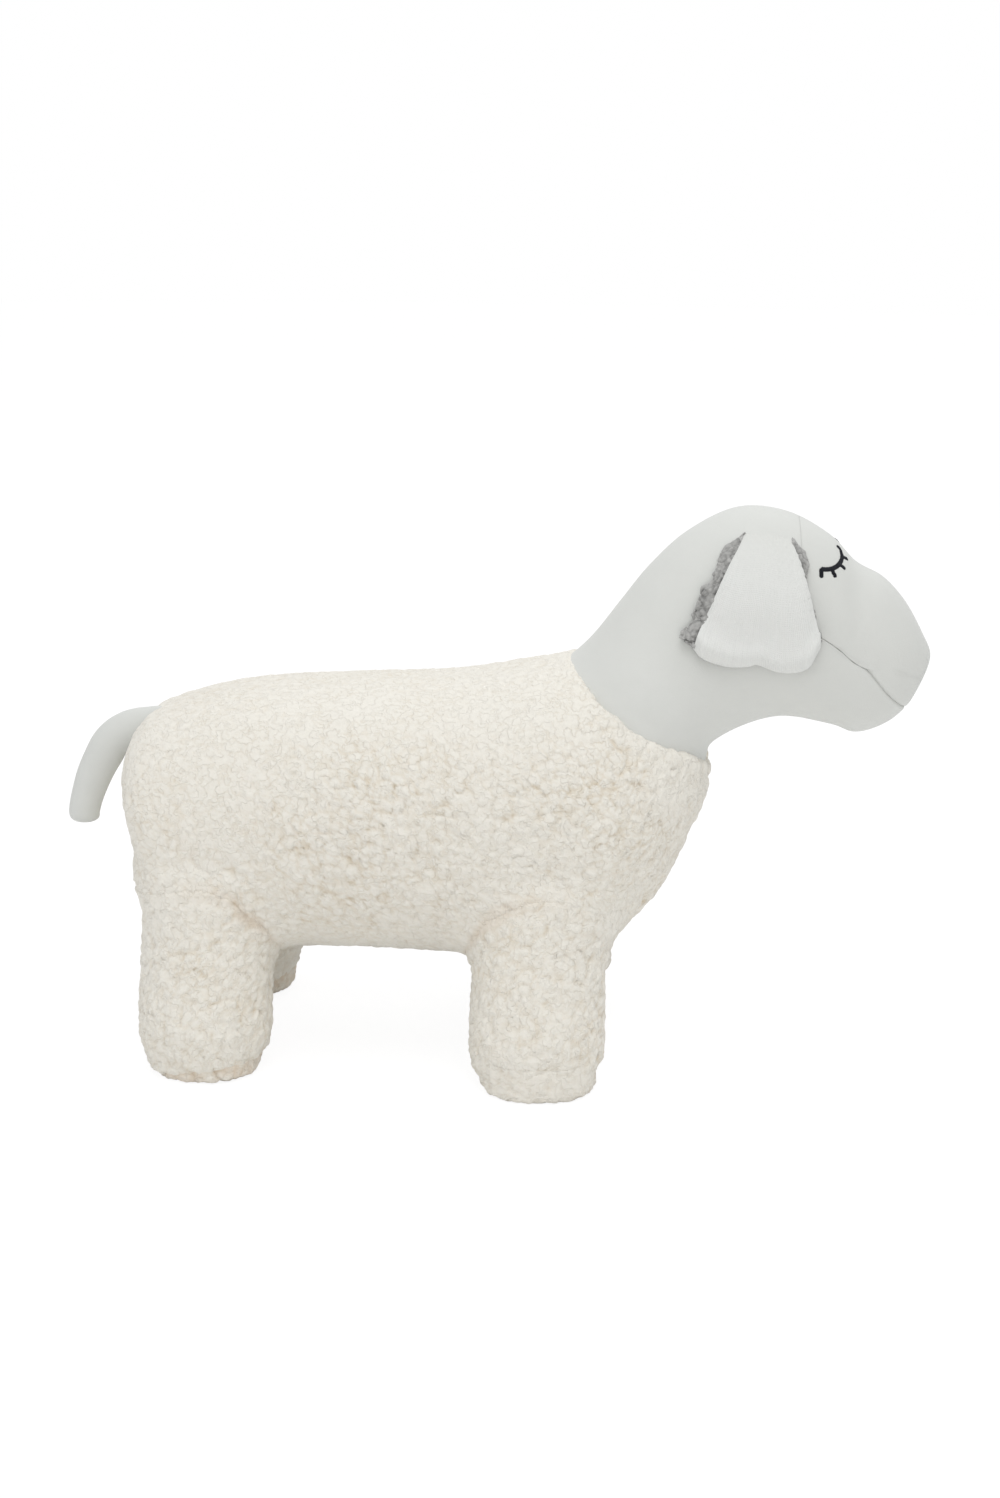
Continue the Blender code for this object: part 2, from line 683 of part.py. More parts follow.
def main():
    clear_scene()
    fleece = cloth("cream_fleece", (0.80, 0.77, 0.70), 0.95)
    knit = cloth("pale_knit", (0.67, 0.70, 0.66), 0.85)
    wadding = cloth("stuffing_fibre", (0.85, 0.85, 0.83), 0.95)
    woven = cloth("white_weave", (0.75, 0.76, 0.74), 0.85)
    curls = cloth("grey_curls", (0.40, 0.40, 0.39), 0.95)
    thread = cloth("black_thread", (0.012, 0.014, 0.020), 0.50)

    body_outer = loft("body_shape", along(body_rows(), BODY_STEPS), BODY_SQUARENESS, BODY_AROUND)
    body_hollow = resized(body_outer, "body_hollow", -FLEECE)
    body_space = resized(body_outer, "body_space", SEAM_GAP)
    rows = along(head_rows(), HEAD_STEPS)
    head_outer = loft("head_shape", rows, HEAD_SQUARENESS, HEAD_AROUND)
    head_longer = loft("head_longer", prolonged(rows, OVERRUN), HEAD_SQUARENESS, HEAD_AROUND)
    head_hollow = resized(head_longer, "head_hollow", -KNIT)
    head_space = resized(head_outer, "head_space", SEAM_GAP)
    root_x, root_z = tail_root()
    tail_centre = (root_x, 0, root_z)
    socket = ball("tail_socket", tail_centre, TAIL_BALL_RADIUS + TAIL_BALL_CLEARANCE)

    body_cover, body_stuffing = shell_and_stuffing(body_outer, body_hollow, "body_cover", "body_stuffing")
    for piece in (body_cover, body_stuffing):
        cut(piece, head_space, socket)
    finish(body_cover, fleece)
    finish(body_stuffing, wadding)

    neck_cover, face_cover, head_stuffing = make_head(head_outer, head_hollow)
    finish(neck_cover, knit)
    finish(face_cover, knit)
    finish(head_stuffing, wadding)

    tail_cover, tail_stuffing = make_tail()
    for piece in (tail_cover, tail_stuffing):
        hinge(piece, tail_centre)
    finish(tail_cover, knit)
    finish(tail_stuffing, wadding)

    for front in (True, False):
        for side_name in SIDES:
            cover, stuffing, sole = make_leg(front, side_name, body_space)
            finish(cover, fleece)
            finish(stuffing, wadding)
            finish(sole, fleece)

    graph = bpy.context.evaluated_depsgraph_get()
    surface = BVHTree.FromObject(head_outer, graph)
    for side_name, side in SIDES.items():
        outer, lining = make_ear(HeadSide(surface, side), side_name)
        finish(outer, woven)
        finish(lining, curls)
        finish(make_eye(surface, side_name), thread)

    discard(body_outer, body_hollow, body_space, head_outer, head_longer, head_hollow, head_space, socket)


main()
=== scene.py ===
"""The finished surfaces of a standing plush sheep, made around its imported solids.

Metres, in the frame of the solids: the nose points to +X and the sheep's left side to +Y, and the soles
stand on z = 0. Every piece is a surface of two parameters, worked out as whole arrays and put into a mesh.
"""

import itertools
import json
import math

import bpy
import numpy as np
from mathutils import Matrix, Vector


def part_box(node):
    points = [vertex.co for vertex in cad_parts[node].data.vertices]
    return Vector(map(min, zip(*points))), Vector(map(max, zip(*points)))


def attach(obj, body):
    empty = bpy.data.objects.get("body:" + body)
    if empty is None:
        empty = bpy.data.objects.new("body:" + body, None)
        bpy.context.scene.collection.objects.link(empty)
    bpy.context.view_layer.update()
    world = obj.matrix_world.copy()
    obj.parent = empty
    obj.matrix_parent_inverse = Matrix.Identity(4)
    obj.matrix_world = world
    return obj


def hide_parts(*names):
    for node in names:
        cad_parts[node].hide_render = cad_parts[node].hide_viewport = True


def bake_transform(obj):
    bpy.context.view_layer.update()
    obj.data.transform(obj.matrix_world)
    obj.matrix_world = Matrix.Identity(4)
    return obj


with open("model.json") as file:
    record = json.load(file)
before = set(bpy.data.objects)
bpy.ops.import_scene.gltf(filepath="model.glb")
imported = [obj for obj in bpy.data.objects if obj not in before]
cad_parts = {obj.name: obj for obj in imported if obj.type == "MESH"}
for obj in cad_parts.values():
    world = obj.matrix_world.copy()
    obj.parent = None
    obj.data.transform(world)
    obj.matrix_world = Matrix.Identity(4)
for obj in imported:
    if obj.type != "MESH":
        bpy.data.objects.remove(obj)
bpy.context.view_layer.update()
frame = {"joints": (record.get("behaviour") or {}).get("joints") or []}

# The picture, whose long side is vertical, and its camera; focal length in pixels of the picture
PICTURE_HEIGHT = 1498
PICTURE_FOCAL = 2600
SENSOR = 36
CAMERA_TARGET = (0.0044, 0, 0.150)
CAMERA_DISTANCE = 1.30
CAMERA_AZIMUTH = math.radians(3.5)
CAMERA_ELEVATION = math.radians(15)
CAMERA_ROLL = math.radians(0.8)

# Floor and sky
FLOOR_RADIUS = 4
FLOOR_SIDES = 64
FLOOR_DROP = 0.0002  # below the soles
FLOOR_PALENESS = 0.95  # in the light that it throws back on the sheep
FLOOR_SHADING = 0.16  # share of light and shadow that the camera sees on it
FLOOR_GLOW = 0.90  # what it glows with besides, for the camera only
SKY_LIGHT = 0.63

# Lamps: name, place, size, power and colour
LAMPS = (
    ("key_lamp", (0.12, -0.50, 1.65), 1.2, 9.6, (1, 1, 1)),
    ("side_lamp", (-1.3, -0.8, 0.7), 1.0, 1.5, (1, 1, 1)),
    ("low_lamp", (0.45, -1.35, 0.05), 1.0, 2.2, (1, 0.94, 0.84)),
    ("back_lamp", (0.2, 1.1, 1.3), 1.2, 5.0, (1, 1, 1)),
)

# Body
BODY_LENGTH = 0.298
BODY_HEIGHT = 0.1522
BODY_WIDTH = 0.154
BELLY_HEIGHT = 0.0478
RUMP_X = -0.1866
BODY_SQUARENESS = 2.4
BODY_ROWS = 300
BODY_COLUMNS = 430
RUMP_START = 0.004  # run at which the first ring closes the rump
NECKLINE_WAVER = 0.0045  # of run, by which the edge round the neck wavers
NECKLINE_WAVER_SIZE = 0.0050
NECKLINE_FINE_SIZE = 0.0024
NECKLINE_ROLL = 0.0028  # radius of the edge that turns in round the neck

# Neck and head
NECKLINE_STEP = 0.0030
NECKLINE_TOP_STEP = 0.0016
NECK_PLUG = 0.008
PLUG_FLARE = (-0.0037, 0.0015, 0.0026, -0.0014, 0.0022)  # how the knit widens under the fleece
COLLAR_FLARE = (0, 0.0021, -0.0006, -0.0002, 0)
HEAD_LENGTH = 0.138
HEAD_HEIGHT = 0.0995
HEAD_WIDTH = 0.082
HEAD_SQUARENESS = 2.15
HEAD_COLUMNS = 300
NECK_ROWS = 120
FACE_ROWS = 90
NOSE_END = 0.998  # run at which the last ring closes the nose
FACE_SEAM_DEPTH = 0.0006
FACE_SEAM_WIDTH = 0.0007
CROWN_SEAM_SHARE = 0.10  # of that depth, where the seam crosses the crown
CROWN_SEAM_REACH_SHARE = 0.45  # of the head's height, below the crown, where it is full
SEAM_ROWS = (0.0003, 0.0006, 0.0009, 0.0013, 0.0018, 0.0024, 0.0032, 0.0042)  # distances of the finer rows
SEAM_TUCK = 0.0012  # how far a cover's cut edge turns in under a seam
SEAM_SLANT_LEAST = 0.30  # sine of the least angle reckoned between the seam and the lines that cross it

# Legs and soles
LEG_TOP = 0.108
LEG_LENGTHWISE = 0.067
LEG_CROSSWISE = 0.062
LEG_ROWS = 84
LEG_COLUMNS = 176
LEG_ROLL = 0.0030  # radius of the leg's turned lower edge
LEG_EDGE_SLOPE = 0.11  # how that edge rises towards the head
LEG_SINK = 0.0021  # how far the legs' cloth lies inside its envelope
HEEL_HEIGHT = 0.034  # below which a leg draws in
SOLE_HEIGHT = 0.0075
SOLE_ROUNDING = 0.0045
SOLE_MIDDLE = 0.0006  # radius of the sole's first ring
SOLE_SHIFT = 0.0006  # of the sole towards the head
SOLE_RINGS = (18, 14, 12)  # on its flat, round its edge and up inside the leg
SOLE_SQUARENESS = 2.4
SOLE_SINK = 0.0011  # how far its cloth lies inside its envelope
SOLE_OVERLAP = 0.005  # how far a sole reaches up inside its leg
SOLE_SPECKLE_SIZE = 0.0025
HIP_CREASE_DEPTH = 0.0011
HIP_CREASE_WIDTH = 0.0030
HIP_CREASE_WINDING = 0.0017
HIP_WINDING_SIZE = 0.0065
HIP_FADING_SIZE = 0.013
HIP_FILLING_REACH = 0.015  # how far the cloth bridges the corner between a leg and the body

# What the front and the rear legs have of their own: how far the hip lies inwards of the foot, the height
# at which the leg's edge turns in, the shares of the half length by which leg and sole draw in at the back
# and each leg at its front, how dark the painted shade on the sole is, and on which side of the leg the belly
# lies.
LEG_PAIRS = {
    "front": {
        "hip_inset": 0.0285,
        "edge": 0.0125,
        "heel_share": 0.03,
        "sole_heel_share": 0.035,
        "toe_shares": {"right": 0, "left": 0},
        "sole_crease": 0.1,
        "belly": -1,
    },
    "rear": {
        "hip_inset": 0.026,
        "edge": 0.0085,
        "heel_share": 0.08,
        "sole_heel_share": 0.09,
        "toe_shares": {"right": 0.04, "left": 0.15},
        "sole_crease": 1.3,
        "belly": 1,
    },
}

# Tail
TAIL_LENGTH = 0.0435
TAIL_HEIGHT = 0.054
TAIL_WIDTH = 0.017
TAIL_ROWS = 150
TAIL_COLUMNS = 72

# Ears, measured along the cloth from the root
EAR_ROOT_HALF = 0.0110
EAR_REAR_HALF = 0.0325
EAR_FRONT_HALF = 0.0278
EAR_LENGTH = 0.0700
EAR_SWEEP = 0.0016
EAR_CLOTH = 0.0020
EAR_LINING = 0.0040
EAR_CLEARANCE = 0.0008
EAR_BACKING = 0.0012  # cloth that the curls stand on
EAR_REAR_BORDER = 0.0062  # how far the lining shows behind the panel
EAR_FRONT_BORDER = 0.0042  # and before it, near the root
EAR_ROOT_SINK = 0.0016  # how deep the root's edge goes into the head's seam
EAR_SETTLING_SHARE = 0.50  # of its length, until the ear has come fully out of the seam
EAR_ROLL_LENGTH = 0.0072  # of cloth at the tip that rolls under
EAR_ROLL_DEPTH = 0.0056
EAR_ROLL_SWELL = 0.0009
EAR_CLING = 0.5  # how far the ear follows the head where it narrows, from 0, hanging straight, to 1
EAR_HOLLOW = 0.0008  # how far the cloth dips above that roll
EAR_WAVE_SIZE = 0.0240
EAR_WAVE_HEIGHT = 0.0006
EAR_ROWS = 110
EAR_COLUMNS = 130
EAR_CENTRE_SHARE = 0.415  # root's middle, of the head's length
EAR_ROOT_SHARE = 0.500  # root's distance from the middle, of half the head's width
EAR_MAP_REACH = (-0.050, 0.045)  # x of the head's map behind and before the root's middle
EAR_MAP_TURN = math.radians(125)  # from the crown down the side
EAR_MAP_STEPS = (64, 126)
EAR_SIDE_SHARE = 0.86  # of the half width, past which the cloth's sides turn in
EAR_SIDE_TURN = 0.0012
LINING_TOP_SHARE = 0.03  # of the way down, where the lining starts and ends
LINING_END_SHARE = 0.93
LINING_BORDER_SIZE = 0.0062  # of the bumps along its border
LINING_DIP = 0.0004  # how much deeper than the cloth it lies at the root
LINING_WARP_SIZE = 0.0028
LINING_WARP_REACH = 0.0016
LINING_CURL_SIZE = 0.0033
LINING_CURL_HEIGHT = 0.0019
LINING_WIND_SIZE = 0.0030
LINING_WIND_DEPTH = 0.0007
LINING_WIND_SHARE = 0.30
LINING_LOOSE_SIZE = 0.0075
LINING_LOOSE_HEIGHT = 0.0012
LINING_FINE_SIZE = 0.0014
LINING_FINE_HEIGHT = 0.0004
LINING_MOTTLE_SIZE = 0.0042

# Eyes: strokes of satin stitch
EYE_PLACE_SHARES = (0.646, 0.456)
EYE_LID = 0.0023
EYE_LASH = 0.0021
EYE_PILE = 0.0007
EYE_ROOT = 0.0004
EYE_STITCH = 0.00042
EYE_ROWS_PER_METRE = 9000
EYE_COLUMNS = 20
EYE_PROBE = 0.0002  # steps that give the face's slope under a stroke
EYE_SEARCH = 0.020  # how far from the eye's plane the face is looked for

# Fleece: sizes of its lumps, tufts and curls, and how high they stand
FLEECE_SINK = 0.0024
BACK_FLATTENING_AND_LIGHT = 0.55  # share of the relief that is flattened where the fleece faces up, its painted crevice shade left off there as painted light
BACK_FLATTENING_FACINGS = (0.25, 0.85)  # upward parts of the normal from none to all of it
RUMP_FLATTENING_AND_LIGHT = 0.50
RUMP_FLATTENING_PLACES = (-0.075, -0.125)  # x from none to all of it, and heights
RUMP_FLATTENING_HEIGHTS = (0.080, 0.120)
BELLY_FLATTENING_AND_LIGHT = 0.45
BELLY_FLATTENING_HEIGHTS = (0.085, 0.055)
LUMP_SIZE = 0.0125
LUMP_HEIGHT = 0.0007
TUFT_SIZE = 0.0052
TUFT_HEIGHT = 0.0015
CURL_SIZE = 0.0031
CURL_HEIGHT = 0.0005
FOLD_SIZE = 0.0120
FOLD_DEPTH = 0.0005
FOLD_SHARE = 0.09
WIND_SIZE = 0.0048
WIND_DEPTH = 0.0006
WIND_SHARE = 0.20
WARP_SIZE = 0.0060
WARP_REACH = 0.0016
DEPTH_SIZE = 0.0300  # of the slow change in how dark the painted crevice shade is

STATIONS = 300  # chords that a form keeps
HALVINGS = 22  # steps of a search for a surface

# Chords of the side view, rump to neckline: top x, top z, bottom x, bottom z, half width.
BODY_SHARES = (
    (0.022, 0.530, 0.022, 0.530, 0.00),
    (0.015, 0.640, 0.050, 0.330, 0.56),
    (0.036, 0.740, 0.079, 0.150, 0.79),
    (0.088, 0.806, 0.131, 0.040, 0.89),
    (0.221, 0.875, 0.231, 0.007, 0.93),
    (0.400, 0.904, 0.406, 0.014, 0.96),
    (0.510, 0.914, 0.560, 0.009, 0.98),
    (0.585, 0.929, 0.700, -0.002, 1.00),
    (0.640, 0.948, 0.810, 0.046, 0.99),
    (0.684, 0.966, 0.878, 0.146, 0.96),
    (0.714, 0.976, 0.927, 0.267, 0.90),
    (0.735, 0.986, 0.959, 0.402, 0.82),
    (0.750, 0.995, 0.989, 0.545, 0.73),
    (0.764, 1.003, 0.997, 0.673, 0.64),
)

# Where the fleece turns in round the neck: degrees round the body from its top, and run.
NECKLINE_RUNS = (
    (0, 0.925),
    (26, 0.937),
    (60, 0.947),
    (72, 0.959),
    (84, 0.960),
    (97, 0.977),
    (106, 0.985),
    (125, 0.998),
    (150, 0.993),
    (180, 0.979),
)

# Chords from the neck to the nose, in shares of the head's length and height from the neckline's middle.
HEAD_SHARES = (
    (-0.176, 0.353, 0.249, -0.176, 1.10),
    (-0.089, 0.518, 0.315, -0.112, 1.02),
    (0.007, 0.694, 0.404, -0.058, 0.98),
    (0.137, 0.869, 0.482, -0.032, 0.98),
    (0.310, 0.993, 0.548, -0.034, 1.00),
    (0.484, 0.980, 0.613, -0.050, 0.98),
    (0.638, 0.872, 0.686, -0.073, 0.89),
    (0.735, 0.742, 0.748, -0.104, 0.78),
    (0.834, 0.668, 0.812, -0.089, 0.69),
    (0.915, 0.550, 0.880, -0.040, 0.58),
    (0.980, 0.396, 0.930, 0.028, 0.42),
    (1.011, 0.290, 0.952, 0.080, 0.24),
    (0.984, 0.185, 0.984, 0.185, 0.00),
)

# The seam from the crown down under the ear and along the mouth, in the same shares.
FACE_SEAM_SHARES = (
    (0.524, 1.120),
    (0.531, 0.884),
    (0.545, 0.693),
    (0.570, 0.490),
    (0.602, 0.430),
    (0.638, 0.435),
    (0.662, 0.413),
    (0.702, 0.374),
    (0.757, 0.302),
    (0.808, 0.216),
    (0.851, 0.142),
    (0.896, 0.080),
    (1.060, -0.130),
)

# A leg from its top to the sole: height, share of the way from hip to foot, half length and half width.
LEG_SHARES = (
    (1.000, -0.10, 0.62, 0.55),
    (0.910, 0.10, 0.88, 0.87),
    (0.750, 0.30, 0.98, 0.99),
    (0.560, 0.50, 0.99, 1.00),
    (0.370, 0.70, 0.99, 1.00),
    (0.190, 0.90, 1.01, 1.00),
    (0.110, 0.97, 1.01, 0.97),
    (0.050, 0.99, 0.99, 0.945),
    (0.000, 1.00, 0.94, 0.92),
)

# Chords of the tail from inside the rump to its tip: outer x, outer z, inner x, inner z, half width.
TAIL_SHARES = (
    (-0.300, -0.120, -0.120, 0.150, 0.60),
    (-0.130, -0.170, 0.000, 0.195, 0.78),
    (0.040, -0.158, 0.090, 0.225, 0.86),
    (0.190, -0.140, 0.170, 0.245, 0.92),
    (0.345, -0.098, 0.240, 0.267, 0.96),
    (0.518, -0.012, 0.298, 0.305, 0.99),
    (0.663, 0.113, 0.355, 0.388, 1.00),
    (0.769, 0.273, 0.430, 0.488, 1.00),
    (0.863, 0.451, 0.510, 0.618, 0.97),
    (0.930, 0.639, 0.580, 0.755, 0.93),
    (0.972, 0.800, 0.620, 0.866, 0.91),
    (0.976, 0.900, 0.632, 0.926, 0.86),
    (0.925, 0.950, 0.690, 0.958, 0.60),
    (0.810, 0.962, 0.810, 0.962, 0.00),
)

# The ear's lower edge: place across from rear corner to front corner, and the cloth's length there.
EAR_EDGE_SHARES = (
    (-1.00, 0.895),
    (-0.90, 0.945),
    (-0.73, 0.982),
    (-0.45, 1.012),
    (-0.20, 1.008),
    (-0.08, 0.992),
    (0.06, 1.008),
    (0.25, 1.036),
    (0.45, 1.046),
    (0.66, 1.036),
    (0.79, 1.012),
    (0.86, 0.978),
    (0.92, 0.930),
    (1.00, 0.880),
)

# How the ear widens from its root to its tip.
EAR_SPREAD_SHARES = (0.00, 0.03, 0.12, 0.25, 0.38, 0.51, 0.64, 0.77, 0.89, 1.00)

# Directions at the right eye, away from the face and up the forehead, and the strokes of its closed lid
# and lashes: metres across the face towards its middle, and up the forehead.
EYE_FACING_SHARES = (0.58, -0.50, 0.64)
EYE_UP_SHARES = (-0.70, 0.09, 0.71)
EYE_LID_PLACES = (
    (-0.0134, 0.0000),
    (-0.0113, -0.0020),
    (-0.0088, -0.0036),
    (-0.0058, -0.0046),
    (-0.0024, -0.0049),
    (0.0008, -0.0047),
    (0.0037, -0.0041),
    (0.0060, -0.0031),
    (0.0079, -0.0019),
    (0.0093, -0.0006),
    (0.0101, 0.0003),
)
EYE_LASH_PLACES = (
    ((-0.0130, 0.0002), (-0.0164, -0.0032)),
    ((-0.0088, -0.0036), (-0.0102, -0.0080)),
    ((-0.0024, -0.0049), (-0.0006, -0.0088)),
    ((0.0046, -0.0036), (0.0084, -0.0068)),
    ((0.0080, 0.0010), (0.0106, 0.0001)),
)

SIDES = {"right": -1, "left": 1}

# Values that keep a division from failing
TINY = 1e-12
LEAST_WIDTH = 1e-6
LEAST_SIZE = 1e-3


# Curves and forms


def beyond(end, neighbour):
    """The row past an end: round the far side of a pole, or straight on."""
    if end[4] == 0:
        return [neighbour[2], neighbour[3], neighbour[0], neighbour[1], -neighbour[4]]
    return 2 * end - neighbour


def smoothed(rows, steps):
    """Rows at even steps of the Catmull-Rom curve from the second row to the last but one."""
    place = np.linspace(0, len(rows) - 3, steps)
    start = np.minimum(place.astype(int), len(rows) - 4)
    share = (place - start)[:, None]
    a, b, c, d = (rows[start + k] for k in range(4))
    bend = 2 * a - 5 * b + 4 * c - d + share * (3 * (b - c) + d - a)
    return b + share / 2 * (c - a + share * bend)


def smooth_through(rows, steps):
    """The same curve from the first row to the last, with a straight run assumed past each end."""
    rows = np.array(rows, float)
    return smoothed(np.vstack([2 * rows[:1] - rows[1:2], rows, 2 * rows[-1:] - rows[-2:-1]]), steps)


def rounded(turn, squareness):
    """Cosine and sine of a superellipse, which is an ellipse at a squareness of 2."""
    power = 2 / squareness
    wave = np.stack([np.cos(turn), np.sin(turn)])
    return np.sign(wave) * np.abs(wave) ** power


def smoothstep(value):
    """0 below 0, 1 above 1, and 3v² - 2v³ between."""
    value = np.clip(value, 0, 1)
    return value * value * (3 - 2 * value)


def ramp(value, start, end):
    """0 up to the start, 1 past the end, which may be the lower of the two, and smooth between."""
    return smoothstep((value - start) / (end - start))


def unit(vectors):
    """Vectors made 1 long."""
    return vectors / np.maximum(np.linalg.norm(vectors, axis=-1, keepdims=True), TINY)


def bell(value):
    """1 at 0, falling to both sides as e to the minus square."""
    return np.exp(-(value**2))


def lengths_along(points):
    """Distance travelled along the first axis of an array of points, from 0."""
    steps = np.linalg.norm(np.diff(points, axis=0), axis=-1)
    return np.concatenate([np.zeros_like(steps[:1]), np.cumsum(steps, axis=0)])


class Form:
    """A soft form of rounded rings that stand across the chords of its side view.

    A ring's point at an angle is the chord's middle, plus half the chord times a superellipse's cosine,
    and sideways the half width times its sine.
    """

    def __init__(self, rows, squareness):
        rows = np.array(rows, float)
        ends = [beyond(rows[0], rows[1]), rows, beyond(rows[-1], rows[-2])]
        self.chords = smoothed(np.vstack(ends), STATIONS)
        self.squareness = squareness

    def at(self, run, turn):
        """The surface at a run from 0 to 1 along the form and an angle round it."""
        place = np.clip(run, 0, 1) * (STATIONS - 1)
        low = np.minimum(place.astype(int), STATIONS - 2)
        share = (place - low)[..., None]
        chord = self.chords[low] * (1 - share) + self.chords[low + 1] * share
        lengthwise, sideways = rounded(turn, self.squareness)
        middle = (chord[..., :2] + chord[..., 2:4]) / 2
        half = (chord[..., :2] - chord[..., 2:4]) / 2
        x = middle[..., 0] + half[..., 0] * lengthwise
        z = middle[..., 1] + half[..., 1] * lengthwise
        return np.stack([x, chord[..., 4] * sideways, z], axis=-1)

    def even_turns(self, run, count):
        """Angles that divide the ring at a run into even lengths."""
        turn = np.linspace(0, 2 * math.pi, 16 * count)
        length = lengths_along(self.at(np.array(run), turn))
        return np.interp(np.linspace(0, length[-1], count, endpoint=False), length, turn)

    def even_runs(self, turns, start, end, count):
        """Runs between two ends at even steps of the rings' mean distance."""
        runs = np.linspace(start, end, STATIONS)
        length = lengths_along(self.at(runs[:, None], turns[None, ::8])).mean(axis=1)
        return np.interp(np.linspace(0, length[-1], count), length, runs)

    def distance(self, points):
        """Distance of points outside the surface, along the line from the middle of their chord.

        A point's chord is the one whose plane it lies in: where it stops being ahead of the chords.
        """
        flat = points.reshape(-1, 3)
        middle = (self.chords[:, :2] + self.chords[:, 2:4]) / 2
        half = (self.chords[:, :2] - self.chords[:, 2:4]) / 2
        x, z = flat[:, 0], flat[:, 2]
        side = half[:, 1:] * (x - middle[:, :1]) - half[:, :1] * (z - middle[:, 1:])
        index = np.clip((side > 0).sum(axis=0), 1, STATIONS - 1)
        every = np.arange(len(flat))
        before, after = side[index - 1, every], side[index, every]
        share = np.clip(before / np.where(before == after, 1, before - after), 0, 1)[:, None]
        chord = self.chords[index - 1] * (1 - share) + self.chords[index] * share
        middle = (chord[:, :2] + chord[:, 2:4]) / 2
        half = (chord[:, :2] - chord[:, 2:4]) / 2
        away = np.stack([x, z], axis=-1) - middle
        lengthwise = (away * half).sum(axis=1) / np.maximum((half * half).sum(axis=1), TINY)
        sideways = flat[:, 1] / np.maximum(chord[:, 4], LEAST_WIDTH)
        power = self.squareness
        size = (np.abs(lengthwise) ** power + np.abs(sideways) ** power) ** (1 / power)
        radius = np.sqrt((away * away).sum(axis=1) + flat[:, 1] ** 2)
        return (radius * (1 - 1 / np.maximum(size, LEAST_SIZE))).reshape(points.shape[:-1])

    def met(self, start, end):
        """Where straight lines from points outside to points inside meet the surface, found by halving."""
        near, far = np.zeros(start.shape[:-1]), np.ones(start.shape[:-1])
        for _ in range(HALVINGS):
            middle = (near + far) / 2
            outside = self.distance(start + (end - start) * middle[..., None]) > 0
            near = np.where(outside, middle, near)
            far = np.where(outside, far, middle)
        return start + (end - start) * far[..., None]


def body_rows():
    """The body's chords, from the rump to the slanted neckline."""
    scale = np.array([BODY_LENGTH, BODY_HEIGHT, BODY_LENGTH, BODY_HEIGHT, BODY_WIDTH / 2])
    start = np.array([RUMP_X, BELLY_HEIGHT, RUMP_X, BELLY_HEIGHT, 0])
    return start + np.array(BODY_SHARES) * scale


def neckline():
    """The neck's chord where it leaves the fleece, and the unit vector along it."""
    edge = body_rows()[-1]
    chord = unit(edge[:2] - edge[2:4])
    top = edge[:2] - chord * NECKLINE_TOP_STEP
    bottom = edge[2:4] + chord * NECKLINE_STEP
    return np.concatenate([top, bottom, [edge[4] - NECKLINE_STEP]]), chord


def head_point(share_x, share_z):
    """A place in the side view from its shares of the head's length and height."""
    chord, _ = neckline()
    return (chord[:2] + chord[2:4]) / 2 + np.array([share_x * HEAD_LENGTH, share_z * HEAD_HEIGHT])


def head_rows():
    """The chords of neck and head, from the plug inside the body to the nose."""
    collar, chord = neckline()
    inwards = np.array([chord[1], -chord[0]]) * -NECK_PLUG
    plug = collar + np.array([*inwards, *inwards, 0]) + np.array(PLUG_FLARE)
    rows = [plug, collar + np.array(COLLAR_FLARE)]
    for *ends, width in HEAD_SHARES:
        top, bottom = head_point(*ends[:2]), head_point(*ends[2:])
        rows.append(np.array([*top, *bottom, width * HEAD_WIDTH / 2]))
    return rows


def tail_rows():
    """Chords from inside the rump to the tail's tip, from the place of its joint."""
    root = np.array(TAIL_ROOT)[[0, 2]]
    scale = np.array([-TAIL_LENGTH, -TAIL_HEIGHT, -TAIL_LENGTH, -TAIL_HEIGHT, TAIL_WIDTH / 2])
    return np.concatenate([root, root, [0]]) + np.array(TAIL_SHARES) * scale


JOINT_PLACES = {joint["name"]: joint["pos_m"] for joint in frame["joints"]}
TAIL_ROOT = JOINT_PLACES["tail_lift"]
BODY = Form(body_rows(), BODY_SQUARENESS)
HEAD = Form(head_rows(), HEAD_SQUARENESS)
TAIL = Form(tail_rows(), 2)


# Noise that is the same every time

HASH_STRIDES = (0x8DA6B343, 0xD8163841, 0xCB1AB31F)
HASH_MIXERS = (0x2C1B3C6D, 0x297A2D39)
HASH_SALT = 0x9E3779B1


def hashed(cell, salt):
    """A number from 0 to 1 for each whole-numbered cell, from products with large odd numbers."""
    whole = cell.astype(np.int64).astype(np.uint32)
    mixed = np.full(whole.shape[:-1], (salt * HASH_SALT) & 0xFFFFFFFF, np.uint32)
    for axis, stride in enumerate(HASH_STRIDES):
        mixed = mixed ^ (whole[..., axis] * np.uint32(stride))
    for shift, mixer in zip((15, 12), HASH_MIXERS):
        mixed = (mixed ^ (mixed >> np.uint32(shift))) * np.uint32(mixer)
    return (mixed ^ (mixed >> np.uint32(15))) / 2.0**32


def smooth_noise(points, size, salt):
    """Noise from -1 to 1: random numbers at the corners of a lattice, blended smoothly between them."""
    place = points / size
    cell = np.floor(place)
    share = smoothstep(place - cell)
    total = np.zeros(points.shape[:-1])
    for corner in itertools.product((0, 1), repeat=3):
        weight = np.where(np.array(corner), share, 1 - share).prod(axis=-1)
        total += weight * hashed(cell + np.array(corner), salt)
    return 2 * total - 1


def cell_noise(points, size, salt):
    """Distances to the two nearest of points scattered one to a cell, and the nearest one's own number.

    Distances are in cell sizes, and the number is from 0 to 1.
    """
    place = points / size
    cell = np.floor(place)
    nearest = np.full(points.shape[:-1], 9.0)
    second = nearest.copy()
    number = nearest.copy()
    for step in itertools.product((-1, 0, 1), repeat=3):
        other = cell + np.array(step)
        seed = other + np.stack([hashed(other, salt + axis) for axis in range(3)], axis=-1)
        distance = np.linalg.norm(place - seed, axis=-1)
        number = np.where(distance < nearest, hashed(other, salt + 3), number)
        second = np.minimum(second, np.maximum(nearest, distance))
        nearest = np.minimum(nearest, distance)
    return nearest, second, number


